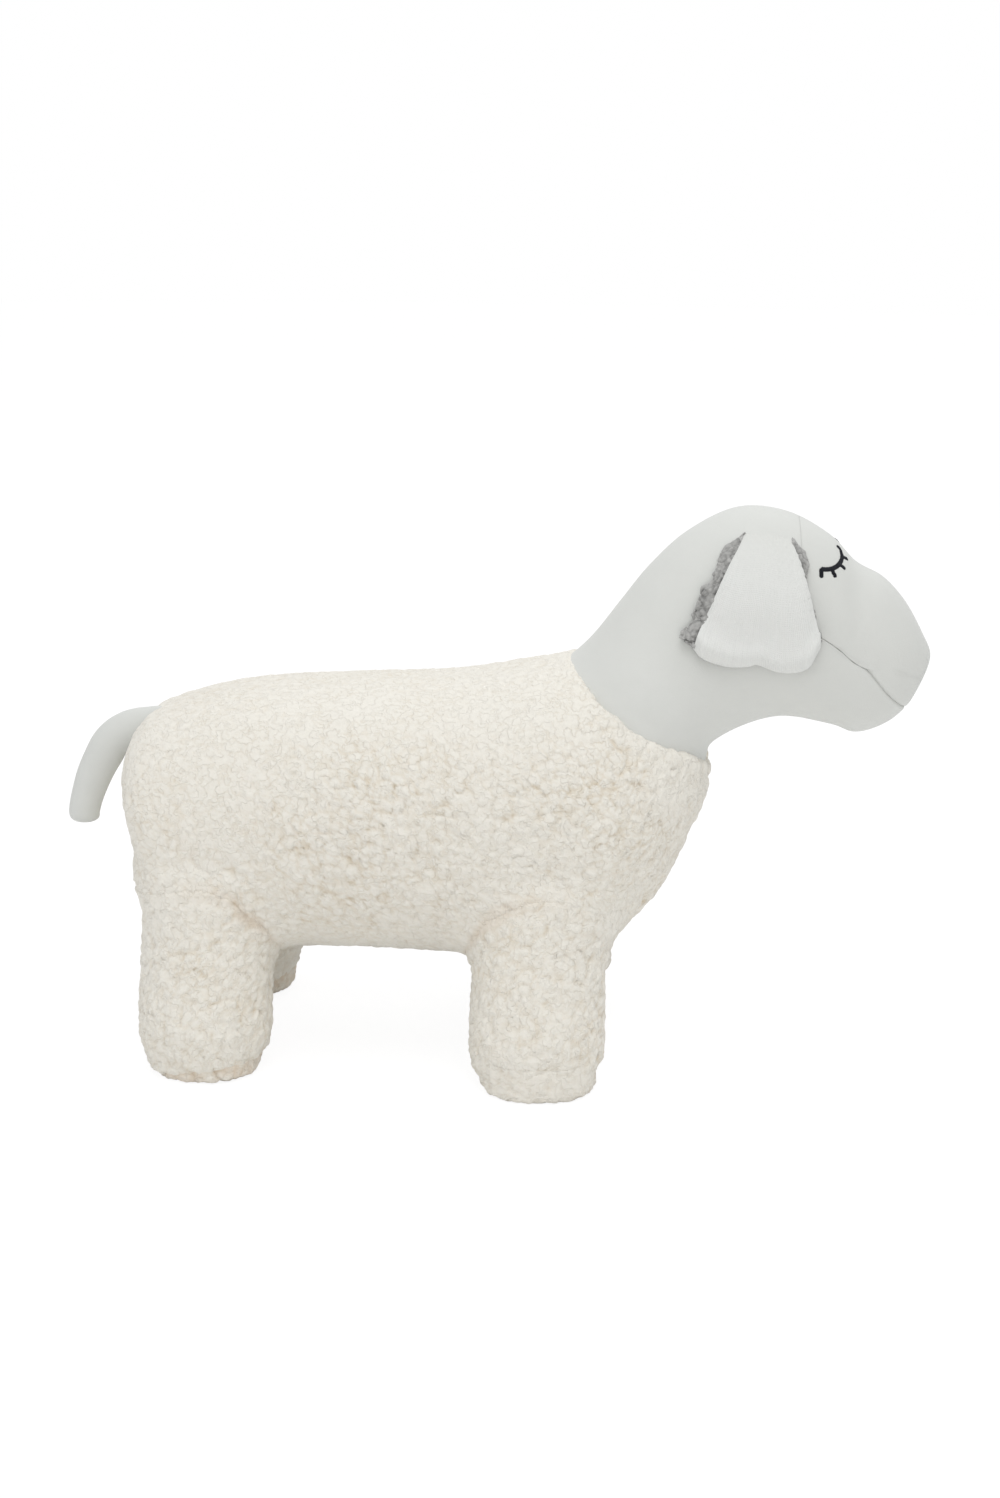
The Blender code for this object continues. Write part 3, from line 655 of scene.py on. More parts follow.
def warped(points, size, reach, salt):
    """Points moved by smooth noise along each axis."""
    moves = [smooth_noise(points, size, salt + axis) for axis in range(3)]
    return points + reach * np.stack(moves, axis=-1)


def tufts(points, size, salt):
    """Domed tufts that touch, of uneven heights, and the thin crevices between them, both from 0 to 1.

    A tuft falls with the square of the distance from its middle. Crevices, which the pile's painted shade
    follows, lie where two middles are equally near.
    """
    nearest, second, number = cell_noise(points, size, salt)
    apart = second - nearest
    dome = 0.75 + 0.25 * number * smoothstep(apart / 0.35) - 0.75 * nearest**2
    return dome, 1 - smoothstep(apart / 0.24)


def flattening_and_painted_light(points, normal):
    """The share by which the relief is flattened and its painted crevice shade left off as painted light:
    where fleece faces up, on the rump and low on the body.
    """
    x, z = points[..., 0], points[..., 2]
    back = BACK_FLATTENING_AND_LIGHT * ramp(normal[..., 2], *BACK_FLATTENING_FACINGS)
    rump = RUMP_FLATTENING_AND_LIGHT * ramp(x, *RUMP_FLATTENING_PLACES) * ramp(z, *RUMP_FLATTENING_HEIGHTS)
    belly = BELLY_FLATTENING_AND_LIGHT * ramp(z, *BELLY_FLATTENING_HEIGHTS)
    return np.maximum(back, np.maximum(rump, belly))


def winding(points, size, share, salt):
    """Thin winding lines, from 0 to 1, where a smooth noise crosses 0."""
    return 1 - smoothstep(np.abs(smooth_noise(points, size, salt)) / share)


def fleece_relief(points, flattening_and_light=0):
    """Height of the curly pile above its cloth, and the painted shade of its crevices, both less where
    flattened.

    Broad lumps carry tufts, tufts carry curls, and folds of two sizes wind between them. The painted shade
    is darker in some places than in others, and between low tufts.
    """
    moved = warped(points, WARP_SIZE, WARP_REACH, 11)
    lump, _ = tufts(moved, LUMP_SIZE, 21)
    tuft, crevice = tufts(moved, TUFT_SIZE, 31)
    curl, furrow = tufts(warped(points, WARP_SIZE / 2, WARP_REACH / 2, 41), CURL_SIZE, 51)
    fold = winding(moved, FOLD_SIZE, FOLD_SHARE, 61)
    wind = winding(moved, WIND_SIZE, WIND_SHARE, 65)
    height = LUMP_HEIGHT * lump + TUFT_HEIGHT * tuft + CURL_HEIGHT * curl
    height = height - FOLD_DEPTH * fold - WIND_DEPTH * wind
    slow, slower = smooth_noise(points, DEPTH_SIZE / 4, 75), smooth_noise(points, DEPTH_SIZE, 71)
    uneven = 0.50 + 0.50 * slower + 0.25 * slow
    low = smoothstep(1.15 - 1.5 * tuft)
    # Painted shade: crevices, windings and folds get a deeper colour, as shade falls in them.
    depth = (0.55 * crevice + 0.14 * furrow + 0.25 * wind) * uneven * (0.4 + 0.6 * low) + 0.35 * fold * low
    return height * (1 - flattening_and_light), np.clip(depth, 0, 1) * (1 - flattening_and_light)


# Meshes


def write_mesh(name, points, faces, values):
    """A smooth mesh object of the points and faces, turned so that its faces point outwards."""
    triangles = [f if f.shape[1] == 3 else np.concatenate([f[:, :3], f[:, [0, 2, 3]]]) for f in faces]
    corners = np.concatenate(triangles)
    a, b, c = (points[corners[:, k]] for k in range(3))
    if (a * np.cross(b, c)).sum() < 0:
        faces = [f[:, ::-1] for f in faces]
    mesh = bpy.data.meshes.new(name)
    mesh.vertices.add(len(points))
    mesh.vertices.foreach_set("co", points.astype(np.float32).ravel())
    loops = np.concatenate([f.ravel() for f in faces])
    totals = np.concatenate([np.full(len(f), f.shape[1]) for f in faces])
    mesh.loops.add(len(loops))
    mesh.loops.foreach_set("vertex_index", loops.astype(np.int32))
    mesh.polygons.add(len(totals))
    mesh.polygons.foreach_set("loop_start", (np.cumsum(totals) - totals).astype(np.int32))
    mesh.update(calc_edges=True)
    mesh.shade_smooth()
    for key, value in values.items():
        attribute = mesh.attributes.new(key, "FLOAT", "POINT")
        attribute.data.foreach_set("value", value.astype(np.float32).ravel())
    piece = bpy.data.objects.new(name, mesh)
    bpy.context.scene.collection.objects.link(piece)
    return piece


def ring_parts(grid, values):
    """Points, faces and values of a closed body of rings: quads between them, and a fan over each end."""
    rows, columns = grid.shape[:2]
    i, j = np.meshgrid(np.arange(rows - 1), np.arange(columns), indexing="ij")
    here, there = i * columns + j, i * columns + (j + 1) % columns
    quads = np.stack([here, there, there + columns, here + columns], axis=-1)
    around = np.arange(columns)
    following = (around + 1) % columns
    first, last = rows * columns, rows * columns + 1
    start = (rows - 1) * columns
    fans = [
        np.stack([following, around, np.full(columns, first)], axis=-1),
        np.stack([start + around, start + following, np.full(columns, last)], axis=-1),
    ]
    points = np.concatenate([grid.reshape(-1, 3), grid[0].mean(axis=0)[None], grid[-1].mean(axis=0)[None]])
    spread = {key: np.concatenate([v.ravel(), [v[0].mean()], [v[-1].mean()]]) for key, v in values.items()}
    return points, [quads.reshape(-1, 4), np.concatenate(fans)], spread


def ring_body(name, grid, **values):
    """A piece of the rings in a grid, with values of its points as attributes."""
    points, faces, spread = ring_parts(grid, values)
    return write_mesh(name, points, faces, spread)


def outward(grid):
    """Unit normals of a grid of rings, away from the middle: the cross product of its steps both ways."""
    lengthwise = np.gradient(grid, axis=0)
    around = np.roll(grid, -1, axis=1) - np.roll(grid, 1, axis=1)
    normal = unit(np.cross(around, lengthwise))
    away = ((grid - grid.mean(axis=1, keepdims=True)) * normal).sum(axis=-1).mean()
    return normal * np.sign(away)


def turned_edge(grid, radius, sweep, steps):
    """The grid with rings added past its last one, which go on as it does and roll inwards round a circle."""
    ahead = unit(grid[-1] - grid[-2])
    inwards = -outward(grid)[-1]
    angle = np.linspace(0, sweep, steps + 1)[1:, None, None]
    rolled = grid[-1] + inwards * radius * (1 - np.cos(angle)) + ahead * radius * np.sin(angle)
    return np.concatenate([grid, rolled])


# Body, legs and soles


def leg_place(pair, side_name):
    """The middle of a foot and half the length of its sole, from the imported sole."""
    low, high = (np.array(corner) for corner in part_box(f"foot_sole_{pair}_{side_name}"))
    return (low + high) / 2, (high[0] - low[0]) / 2


def leg_rows(pair, side_name):
    """A leg's x, and height, y of the middle, half length and half width at even steps from its top down."""
    centre, _ = leg_place(pair, side_name)
    rows = smooth_through(LEG_SHARES, STATIONS)
    height = SOLE_HEIGHT + rows[:, 0] * (LEG_TOP - SOLE_HEIGHT)
    y = centre[1] - SIDES[side_name] * LEG_PAIRS[pair]["hip_inset"] * (1 - rows[:, 1])
    half_x, half_y = rows[:, 2] * LEG_LENGTHWISE / 2, rows[:, 3] * LEG_CROSSWISE / 2
    return centre[0], np.stack([height, y, half_x, half_y], axis=-1)


def leg_section(rows, height):
    """y of the middle, half length and half width of a leg at heights, from its rows."""
    return (np.interp(height, rows[::-1, 0], rows[::-1, k]) for k in (1, 2, 3))


def leg_distance(points, pair, side_name):
    """Distance of points outside a leg, in the level plane through each point."""
    centre_x, rows = leg_rows(pair, side_name)
    y, half_x, half_y = leg_section(rows, points[..., 2])
    x, y = points[..., 0] - centre_x, points[..., 1] - y
    size = np.hypot(x / half_x, y / half_y)
    above = np.maximum(points[..., 2] - LEG_TOP, 0)
    return np.hypot(x, y) * (1 - 1 / np.maximum(size, LEAST_SIZE)) + 2 * above


def hip(points, distance, centre_x, belly):
    """The seam between a leg and the body: how far the cloth stands out there, and the creasing there, a
    groove and also painted shade in the pile's colour.

    Distances are from the other of the two. The cloth bridges the corner by a quarter of the reach times the
    square of 1 - distance / reach. The crease falls as a bell curve to both sides, and smooth noises make it
    wind, come and go. On the side away from the belly it fades, and the bridge reaches further.
    """
    wound = distance + HIP_CREASE_WINDING * smooth_noise(points, HIP_WINDING_SIZE, 171)
    inner = smoothstep(0.5 + belly * (points[..., 0] - centre_x) / LEG_LENGTHWISE)
    reach = HIP_FILLING_REACH * (1.35 - 0.25 * inner)
    filling = reach / 4 * np.clip(1 - np.abs(distance) / reach, 0, 1) ** 2
    strength = inner**1.5 * (0.65 + 0.45 * smooth_noise(points, HIP_FADING_SIZE, 181))
    return filling, bell(wound / HIP_CREASE_WIDTH) * strength


def neckline_runs(turns):
    """Runs at which the fleece turns in round the neck, at angles round the body, uneven by its tufts."""
    table = smooth_through(NECKLINE_RUNS, STATIONS)
    runs = np.interp(np.minimum(turns, 2 * math.pi - turns), np.radians(table[:, 0]), table[:, 1])
    edge = BODY.at(runs, turns)
    waver = smooth_noise(edge, NECKLINE_WAVER_SIZE, 191) + 0.6 * smooth_noise(edge, NECKLINE_FINE_SIZE, 195)
    return runs + NECKLINE_WAVER * waver


def padded_piece(name, grid, nodes, fill, **values):
    """A stuffed piece of rings that stands for CAD nodes."""
    piece = ring_body(name, grid, **values)
    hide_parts(*nodes)
    return piece


def make_body():
    """The fleece body: the lofted form with its pile, creased round the legs and rolled in at the neck."""
    turns = BODY.even_turns(0.6, BODY_COLUMNS)
    runs = BODY.even_runs(turns, RUMP_START, 1, BODY_ROWS)[:, None]
    runs = RUMP_START + (runs - RUMP_START) * (neckline_runs(turns) - RUMP_START) / (1 - RUMP_START)
    grid = BODY.at(runs, turns[None, :])
    normal = outward(grid)
    grid = grid - normal * (FLEECE_SINK * (1 - 0.7 * flattening_and_painted_light(grid, normal)))[..., None]
    grid = turned_edge(grid, NECKLINE_ROLL, math.radians(150), 9)
    normal = outward(grid)
    height, crevice = fleece_relief(grid, flattening_and_painted_light(grid, normal))
    filling, seam = np.zeros(grid.shape[:2]), np.zeros(grid.shape[:2])
    for pair, side_name in itertools.product(LEG_PAIRS, SIDES):
        centre, _ = leg_place(pair, side_name)
        distance = leg_distance(grid, pair, side_name)
        one_filling, one_seam = hip(grid, distance, centre[0], LEG_PAIRS[pair]["belly"])
        filling, seam = np.maximum(filling, one_filling), np.maximum(seam, one_seam)
    grid = grid + normal * (height + filling - HIP_CREASE_DEPTH * seam)[..., None]
    nodes = ("body_cover", "body_stuffing")
    # Its crevices and creases pass to the pile's colour as painted shade.
    return padded_piece("body_fleece", grid, nodes, 0.85, crevice=crevice, crease=seam)


def make_leg(pair, side_name):
    """A leg: level ellipses from inside the body down to an edge that slopes and rolls in over the sole."""
    own = LEG_PAIRS[pair]
    x, rows = leg_rows(pair, side_name)
    turn = np.linspace(0, 2 * math.pi, LEG_COLUMNS, endpoint=False)
    lowest = own["edge"] + LEG_EDGE_SLOPE * LEG_LENGTHWISE / 2 * np.cos(turn)
    height = LEG_TOP + (lowest - LEG_TOP) * np.linspace(0, 1, LEG_ROWS)[:, None]
    y, half_x, half_y = leg_section(rows, height)
    foot = ramp(height, HEEL_HEIGHT, 0)
    heel, toe = own["heel_share"] * foot, own["toe_shares"][side_name] * foot
    drawn_in = 1 - heel * np.clip(-np.cos(turn), 0, 1) - toe * np.clip(np.cos(turn), 0, 1)
    level_x = x + (half_x - LEG_SINK) * drawn_in * np.cos(turn)
    grid = np.stack([level_x, y + (half_y - LEG_SINK) * np.sin(turn), height], axis=-1)
    grid = turned_edge(grid, LEG_ROLL, math.radians(120), 9)
    pile, crevice = fleece_relief(grid)
    filling, seam = hip(grid, BODY.distance(grid), x, own["belly"])
    grid = grid + outward(grid) * (pile + filling - HIP_CREASE_DEPTH * seam)[..., None]
    place = f"{pair}_{side_name}"
    nodes = ("leg_cover_" + place, "leg_stuffing_" + place)
    return padded_piece("leg_fleece_" + place, grid, nodes, 0.85, crevice=crevice, crease=seam)


def make_sole(pair, side_name):
    """A sole: a cup of fleece whose rounded edge goes up into the leg, turned about the foot's middle.

    Its section runs out along the floor, round a quarter circle and straight up.
    """
    own = LEG_PAIRS[pair]
    centre, radius = leg_place(pair, side_name)
    flat_rings, edge_rings, side_rings = SOLE_RINGS
    flat = np.linspace(SOLE_MIDDLE, radius - SOLE_ROUNDING, flat_rings, endpoint=False)
    angle = np.linspace(0, math.pi / 2, edge_rings)
    rise = np.linspace(SOLE_ROUNDING, own["edge"] + SOLE_OVERLAP, side_rings + 1)[1:]
    edge_radius = radius - SOLE_ROUNDING * (1 - np.sin(angle))
    edge_height = SOLE_ROUNDING * (1 - np.cos(angle))
    profile_radius = np.concatenate([flat, edge_radius, np.full(side_rings, radius)])
    profile_height = np.concatenate([np.zeros_like(flat), edge_height, rise])
    turn = np.linspace(0, 2 * math.pi, LEG_COLUMNS, endpoint=False)
    lengthwise, sideways = rounded(turn, SOLE_SQUARENESS)
    lengthwise = lengthwise * (1 - own["sole_heel_share"] * (lengthwise < 0))
    grid = np.empty((len(profile_radius), LEG_COLUMNS, 3))
    grid[..., 0] = centre[0] + SOLE_SHIFT + profile_radius[:, None] * lengthwise
    grid[..., 1] = centre[1] + profile_radius[:, None] * sideways
    grid[..., 2] = profile_height[:, None]
    height, crevice = fleece_relief(grid)
    grid = grid + outward(grid) * (height - SOLE_SINK)[..., None]
    grid[..., 2] = np.maximum(grid[..., 2], 0)
    # Painted shade on the sole, half on its flat and full up its edge and side, speckled unevenly.
    speckle = 0.5 + 0.5 * smooth_noise(grid, SOLE_SPECKLE_SIZE, 201)
    seam = own["sole_crease"] * speckle * ramp(grid[..., 2], -0.5 * SOLE_ROUNDING, 0.5 * SOLE_ROUNDING)
    place = f"{pair}_{side_name}"
    nodes = ("foot_sole_" + place,)
    return padded_piece("sole_fleece_" + place, grid, nodes, 0.9, crevice=crevice, crease=seam)


# Neck and face


def seam_x(z):
    """x of the face seam in the side view, at a height."""
    seam = np.array([head_point(*share) for share in FACE_SEAM_SHARES])
    seam = smooth_through(seam, STATIONS)[::-1]
    return np.interp(z, seam[:, 1], seam[:, 0])


def evened(values, reach):
    """Values round a ring, each the mean of those within some steps on both sides."""
    return sum(np.roll(values, step) for step in range(-reach, reach + 1)) / (2 * reach + 1)


def head_grid():
    """Rings of the head from neck to nose, each point's distance from the face seam, and the seam's row.

    The seam crosses each column where x passes the seam's. The rows beside it keep even distances square
    to it, which are longer along a column by 1 over the sine of the angle between the two.
    """
    turns = HEAD.even_turns(0.55, HEAD_COLUMNS)
    runs = np.linspace(0, NOSE_END, 4 * STATIONS)
    fine = HEAD.at(runs[:, None], turns[None, :])
    ahead = fine[..., 0] - seam_x(fine[..., 2])
    first = np.argmax(ahead > 0, axis=0)
    every = np.arange(HEAD_COLUMNS)
    before, after = ahead[first - 1, every], ahead[first, every]
    length = lengths_along(fine)
    share = before / (before - after)
    seam_length = evened(length[first - 1, every] * (1 - share) + length[first, every] * share, 2)

    def placed(wanted):
        return np.stack([np.interp(wanted[:, j], length[:, j], runs) for j in every], axis=1)

    beside = np.stack([seam_length - SEAM_ROWS[0], seam_length, seam_length + SEAM_ROWS[0]])
    nearby = HEAD.at(placed(beside), turns)
    along_column = unit(nearby[2] - nearby[0])
    along_seam = unit(np.roll(nearby[1], -1, axis=0) - np.roll(nearby[1], 1, axis=0))
    slant = np.linalg.norm(np.cross(along_column, along_seam), axis=-1)
    slant = evened(np.maximum(slant, SEAM_SLANT_LEAST), 3)
    near = np.array(SEAM_ROWS)[:, None] / slant
    neck = np.linspace(0, 1, NECK_ROWS)[:, None] * (seam_length - near[-1])
    neck = np.concatenate([neck, seam_length - near[-2::-1], seam_length[None]])
    face = near[-1] + np.linspace(0, 1, FACE_ROWS)[:, None] * (length[-1] - seam_length - near[-1])
    face = seam_length + np.concatenate([near[:-1], face])
    wanted = np.concatenate([neck, face])
    return HEAD.at(placed(wanted), turns[None, :]), (wanted - seam_length) * slant, len(neck) - 1


def make_head():
    """The neck and the face: two covers that share the seam's row and sink together into its groove."""
    grid, from_seam, seam_row = head_grid()
    normal = outward(grid)
    crown = head_point(*HEAD_SHARES[4][:2])[1]
    below_crown = ramp(grid[..., 2], crown, crown - CROWN_SEAM_REACH_SHARE * HEAD_HEIGHT)
    groove = bell(from_seam / FACE_SEAM_WIDTH) * (CROWN_SEAM_SHARE + (1 - CROWN_SEAM_SHARE) * below_crown)
    grid = grid - normal * FACE_SEAM_DEPTH * groove[..., None]
    tuck = grid[seam_row] - normal[seam_row] * SEAM_TUCK
    step = grid[seam_row] - grid[seam_row - 2]
    neck = np.concatenate([grid[: seam_row + 1], (tuck - step)[None]])
    face = np.concatenate([(tuck + step)[None], grid[seam_row:]])
    nodes = ("neck_cover", "head_stuffing")
    neck_knit = padded_piece("neck_knit", neck, nodes, 0.9, seam=groove[: seam_row + 2])
    face_knit = padded_piece("face_knit", face, ("face_cover",), 0.9, seam=groove[seam_row - 1 :])
    return neck_knit, face_knit


# Eyes


def eye_frame():
    """The middle of the right eye on the face, and unit vectors across the face, up the forehead and away."""
    facing = unit(np.array(EYE_FACING_SHARES))
    up = np.array(EYE_UP_SHARES)
    up = unit(up - facing * (up @ facing))
    x = head_point(EYE_PLACE_SHARES[0], 0)[0]
    y = -EYE_PLACE_SHARES[1] * HEAD_WIDTH / 2
    above, inside = head_point(0, HEAD_SHARES[4][1])[1] + EYE_SEARCH / 2, head_point(0, 0.3)[1]
    middle = HEAD.met(np.array([[x, y, above]]), np.array([[x, y, inside]]))[0]
    return middle, np.cross(up, facing), up, facing


def on_face(place):
    """Where places in the eye's plane, moved square to it, meet the face."""
    middle, across, up, facing = eye_frame()
    flat = middle + place[..., :1] * across + place[..., 1:] * up
    return HEAD.met(flat + facing * EYE_SEARCH, flat - facing * EYE_SEARCH)


def stroke(line, width):
    """A stroke of satin stitch through places in the eye's plane: a low dome with round ends and ridges."""
    line = smooth_through(line, STATIONS)
    length = lengths_along(line)
    rows = int(length[-1] * EYE_ROWS_PER_METRE)
    even = np.linspace(0, 1, rows)
    along = length[-1] * (0.35 * (1 - np.cos(math.pi * even)) / 2 + 0.65 * even)
    centre = np.stack([np.interp(along, length, line[:, axis]) for axis in (0, 1)], axis=-1)
    ahead = unit(np.gradient(centre, axis=0))
    aside = np.stack([-ahead[:, 1], ahead[:, 0]], axis=-1)
    from_end = np.minimum(along, length[-1] - along) / (width / 2)
    end = np.sqrt(np.clip(1 - (1 - np.clip(from_end, 0.02, 1)) ** 3, 0, 1))
    across, height = flat_ring(EYE_COLUMNS, 2.4)
    place = centre[:, None] + aside[:, None] * (across[None, :, None] * (end * width / 2)[:, None, None])
    points = on_face(place)
    slopes = [on_face(place + EYE_PROBE * np.array(shift)) - points for shift in ((1, 0), (0, 1))]
    normal = unit(np.cross(*slopes))
    normal *= np.sign(normal @ eye_frame()[3])[..., None]
    ridge = 1 - 0.16 * np.sin(math.pi * (along[:, None] + 0.25 * width * across) / EYE_STITCH) ** 2
    high = np.where(height > 0, EYE_PILE * ridge, EYE_ROOT) * height * end[:, None]
    return points + normal * high[..., None]


def make_eye(side_name):
    """The closed lid and its lashes: strokes of satin stitch that lie on the face."""
    lines = [(EYE_LID_PLACES, EYE_LID)] + [(lash, EYE_LASH) for lash in EYE_LASH_PLACES]
    points, faces, count = [], [], 0
    for line, width in lines:
        grid = stroke(line, width)
        grid[..., 1] *= -SIDES[side_name]
        part_points, part_faces, _ = ring_parts(grid, {})
        points.append(part_points)
        faces += [face + count for face in part_faces]
        count += len(part_points)
    piece = write_mesh("eye_stitches_" + side_name, np.concatenate(points), faces, {})
    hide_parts("eye_" + side_name)
    return piece


# Ears


class EarGround:
    """The right side of the head as a map: points and normals over x and the cloth's length below the root.

    Lines from the head's middle at even angles meet its surface, in level steps of x.
    """

    def __init__(self):
        crown, jaw = head_point(*HEAD_SHARES[4][:2]), head_point(*HEAD_SHARES[4][2:4])
        self.root_x = head_point(EAR_CENTRE_SHARE, 0)[0]
        behind, before = EAR_MAP_REACH
        self.x = np.linspace(self.root_x + behind, self.root_x + before, EAR_MAP_STEPS[0])
        self.angle = np.linspace(0, EAR_MAP_TURN, EAR_MAP_STEPS[1])
        x, angle = np.meshgrid(self.x, self.angle, indexing="ij")
        middle = np.stack([x, np.zeros_like(x), np.full_like(x, (crown[1] + jaw[1]) / 2)], axis=-1)
        away = np.stack([np.zeros_like(x), -np.sin(angle), np.cos(angle)], axis=-1)
        self.points = HEAD.met(middle + away * HEAD_WIDTH * 1.2, middle)
        normal = unit(np.cross(np.gradient(self.points, axis=0), np.gradient(self.points, axis=1)))
        self.normals = normal * np.sign((normal * away).sum(axis=-1).mean())
        share = (self.root_x - self.x[0]) / (self.x[1] - self.x[0])
        low = int(share)
        column = self.points[low] * (low + 1 - share) + self.points[low + 1] * (share - low)
        length = lengths_along(column)
        outwards = -column[:, 1]
        widest = outwards.argmax()
        root_angle = np.interp(EAR_ROOT_SHARE * HEAD_WIDTH / 2, outwards[:widest], self.angle[:widest])
        self.lengths = length - np.interp(root_angle, self.angle, length)

    def below_root(self, x, length):
        """Point and outward normal at x and a length of cloth below the root, between the nearest four."""
        angle = np.interp(length, self.lengths, self.angle)
        i = (x - self.x[0]) / (self.x[1] - self.x[0])
        j = angle / (self.angle[1] - self.angle[0])
        low_i = np.clip(i.astype(int), 0, len(self.x) - 2)
        low_j = np.clip(j.astype(int), 0, len(self.angle) - 2)
        share_i, share_j = (i - low_i)[..., None], (j - low_j)[..., None]

        def between(table):
            near = table[low_i, low_j] * (1 - share_j) + table[low_i, low_j + 1] * share_j
            far = table[low_i + 1, low_j] * (1 - share_j) + table[low_i + 1, low_j + 1] * share_j
            return near * (1 - share_i) + far * share_i

        return between(self.points), unit(between(self.normals))


def ear_halves(down):
    """The panel's widths behind and before its middle, at shares of the way from root to lower edge."""
    spread = smooth_through(np.array(EAR_SPREAD_SHARES)[:, None], STATIONS)[:, 0]
    wide = np.interp(down, np.linspace(0, 1, STATIONS), spread)
    return tuple(EAR_ROOT_HALF + (half - EAR_ROOT_HALF) * wide for half in (EAR_REAR_HALF, EAR_FRONT_HALF))


def ear_sheet(ground, across, down, lift, rear_border=0, front_border=0):
    """Points of a sheet laid over the head's side, and the directions away from the head there.

    Across runs from -1 at the rear edge to 1 at the front edge and down from 0 at the root to 1 at the lower
    edge. The sheet stands off the head by the lift, and below the head's widest part it hangs between
    straight down and the head's own surface. The borders widen it past its edges.
    """
    edge = smooth_through(EAR_EDGE_SHARES, STATIONS)
    length = EAR_LENGTH * down * np.interp(across, edge[:, 0], edge[:, 1])
    rear, front = ear_halves(down)
    half = np.where(across < 0, rear + rear_border, front + front_border)
    surface, normal = ground.below_root(ground.root_x - EAR_SWEEP * down + across * half, length)
    points = surface + normal * lift[..., None]
    hanging = np.minimum.accumulate(points[..., 1], axis=0)
    points[..., 1] = hanging + EAR_CLING * (points[..., 1] - hanging)
    return points, normal


def ear_settling(down):
    """How far the ear's layers have come out of the head's seam, and how deep they still lie in it."""
    return ramp(down, 0, EAR_SETTLING_SHARE), EAR_ROOT_SINK * (1 - ramp(down, 0, 0.7 * EAR_SETTLING_SHARE))


def flat_ring(columns, squareness):
    """Places round a flat section: across from -1 to 1 and back, and its height from 1 on top to -1 below."""
    return rounded(np.linspace(0, 2 * math.pi, columns, endpoint=False), squareness)


def ear_piece(name, grid, side_name, node, **values):
    """A piece of the right ear's rings, mirrored for the left one, that stands for a CAD node."""
    grid = grid * np.array([1, -SIDES[side_name], 1])
    piece = ring_body(f"{name}_{side_name}", grid, **values)
    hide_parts(f"{node}_{side_name}")
    return piece


def make_ear_cloth(ground, side_name):
    """The outer woven panel: a sheet with rounded edges whose lower end rolls under in two soft lobes."""
    across, height = flat_ring(EAR_COLUMNS * 2, 2.6)
    across = np.sign(across) * (1 - (1 - np.abs(across)) ** 0.8)
    down = np.linspace(0, 1, EAR_ROWS)[:, None]
    across, down = np.broadcast_arrays(across, down)
    taper = np.sqrt(np.clip(1 - ((down - 0.5) / 0.5) ** 24, 0, 1)) * (0.25 + 0.75 * ramp(down, 0, 0.30))
    settled, sink = ear_settling(down)
    rolls = (1 - down) * EAR_LENGTH / EAR_ROLL_LENGTH
    lift = (EAR_CLEARANCE + EAR_LINING) * settled + EAR_CLOTH / 2 - sink
    lift = lift + EAR_ROLL_SWELL * bell((rolls - 1) / 0.5) - EAR_HOLLOW * bell((rolls - 2.4) / 0.9)
    lift = lift - EAR_ROLL_DEPTH * np.clip(1 - rolls, 0, 1) ** 1.7
    side = np.clip((np.abs(across) - EAR_SIDE_SHARE) / (1 - EAR_SIDE_SHARE), 0, 1) * settled
    points, normal = ear_sheet(ground, across, down, lift - EAR_SIDE_TURN * side**2)
    waves = smooth_noise(points, EAR_WAVE_SIZE, 101) * settled
    grid = points + normal * (height * EAR_CLOTH / 2 * taper + EAR_WAVE_HEIGHT * waves)[..., None]
    values = {
        "cloth_across": across * (EAR_REAR_HALF + EAR_FRONT_HALF) / 2,
        "cloth_down": down * EAR_LENGTH,
        "root": 1 - settled,
    }
    piece = ear_piece("ear_cloth", grid, side_name, "ear_outer", **values)
    return piece


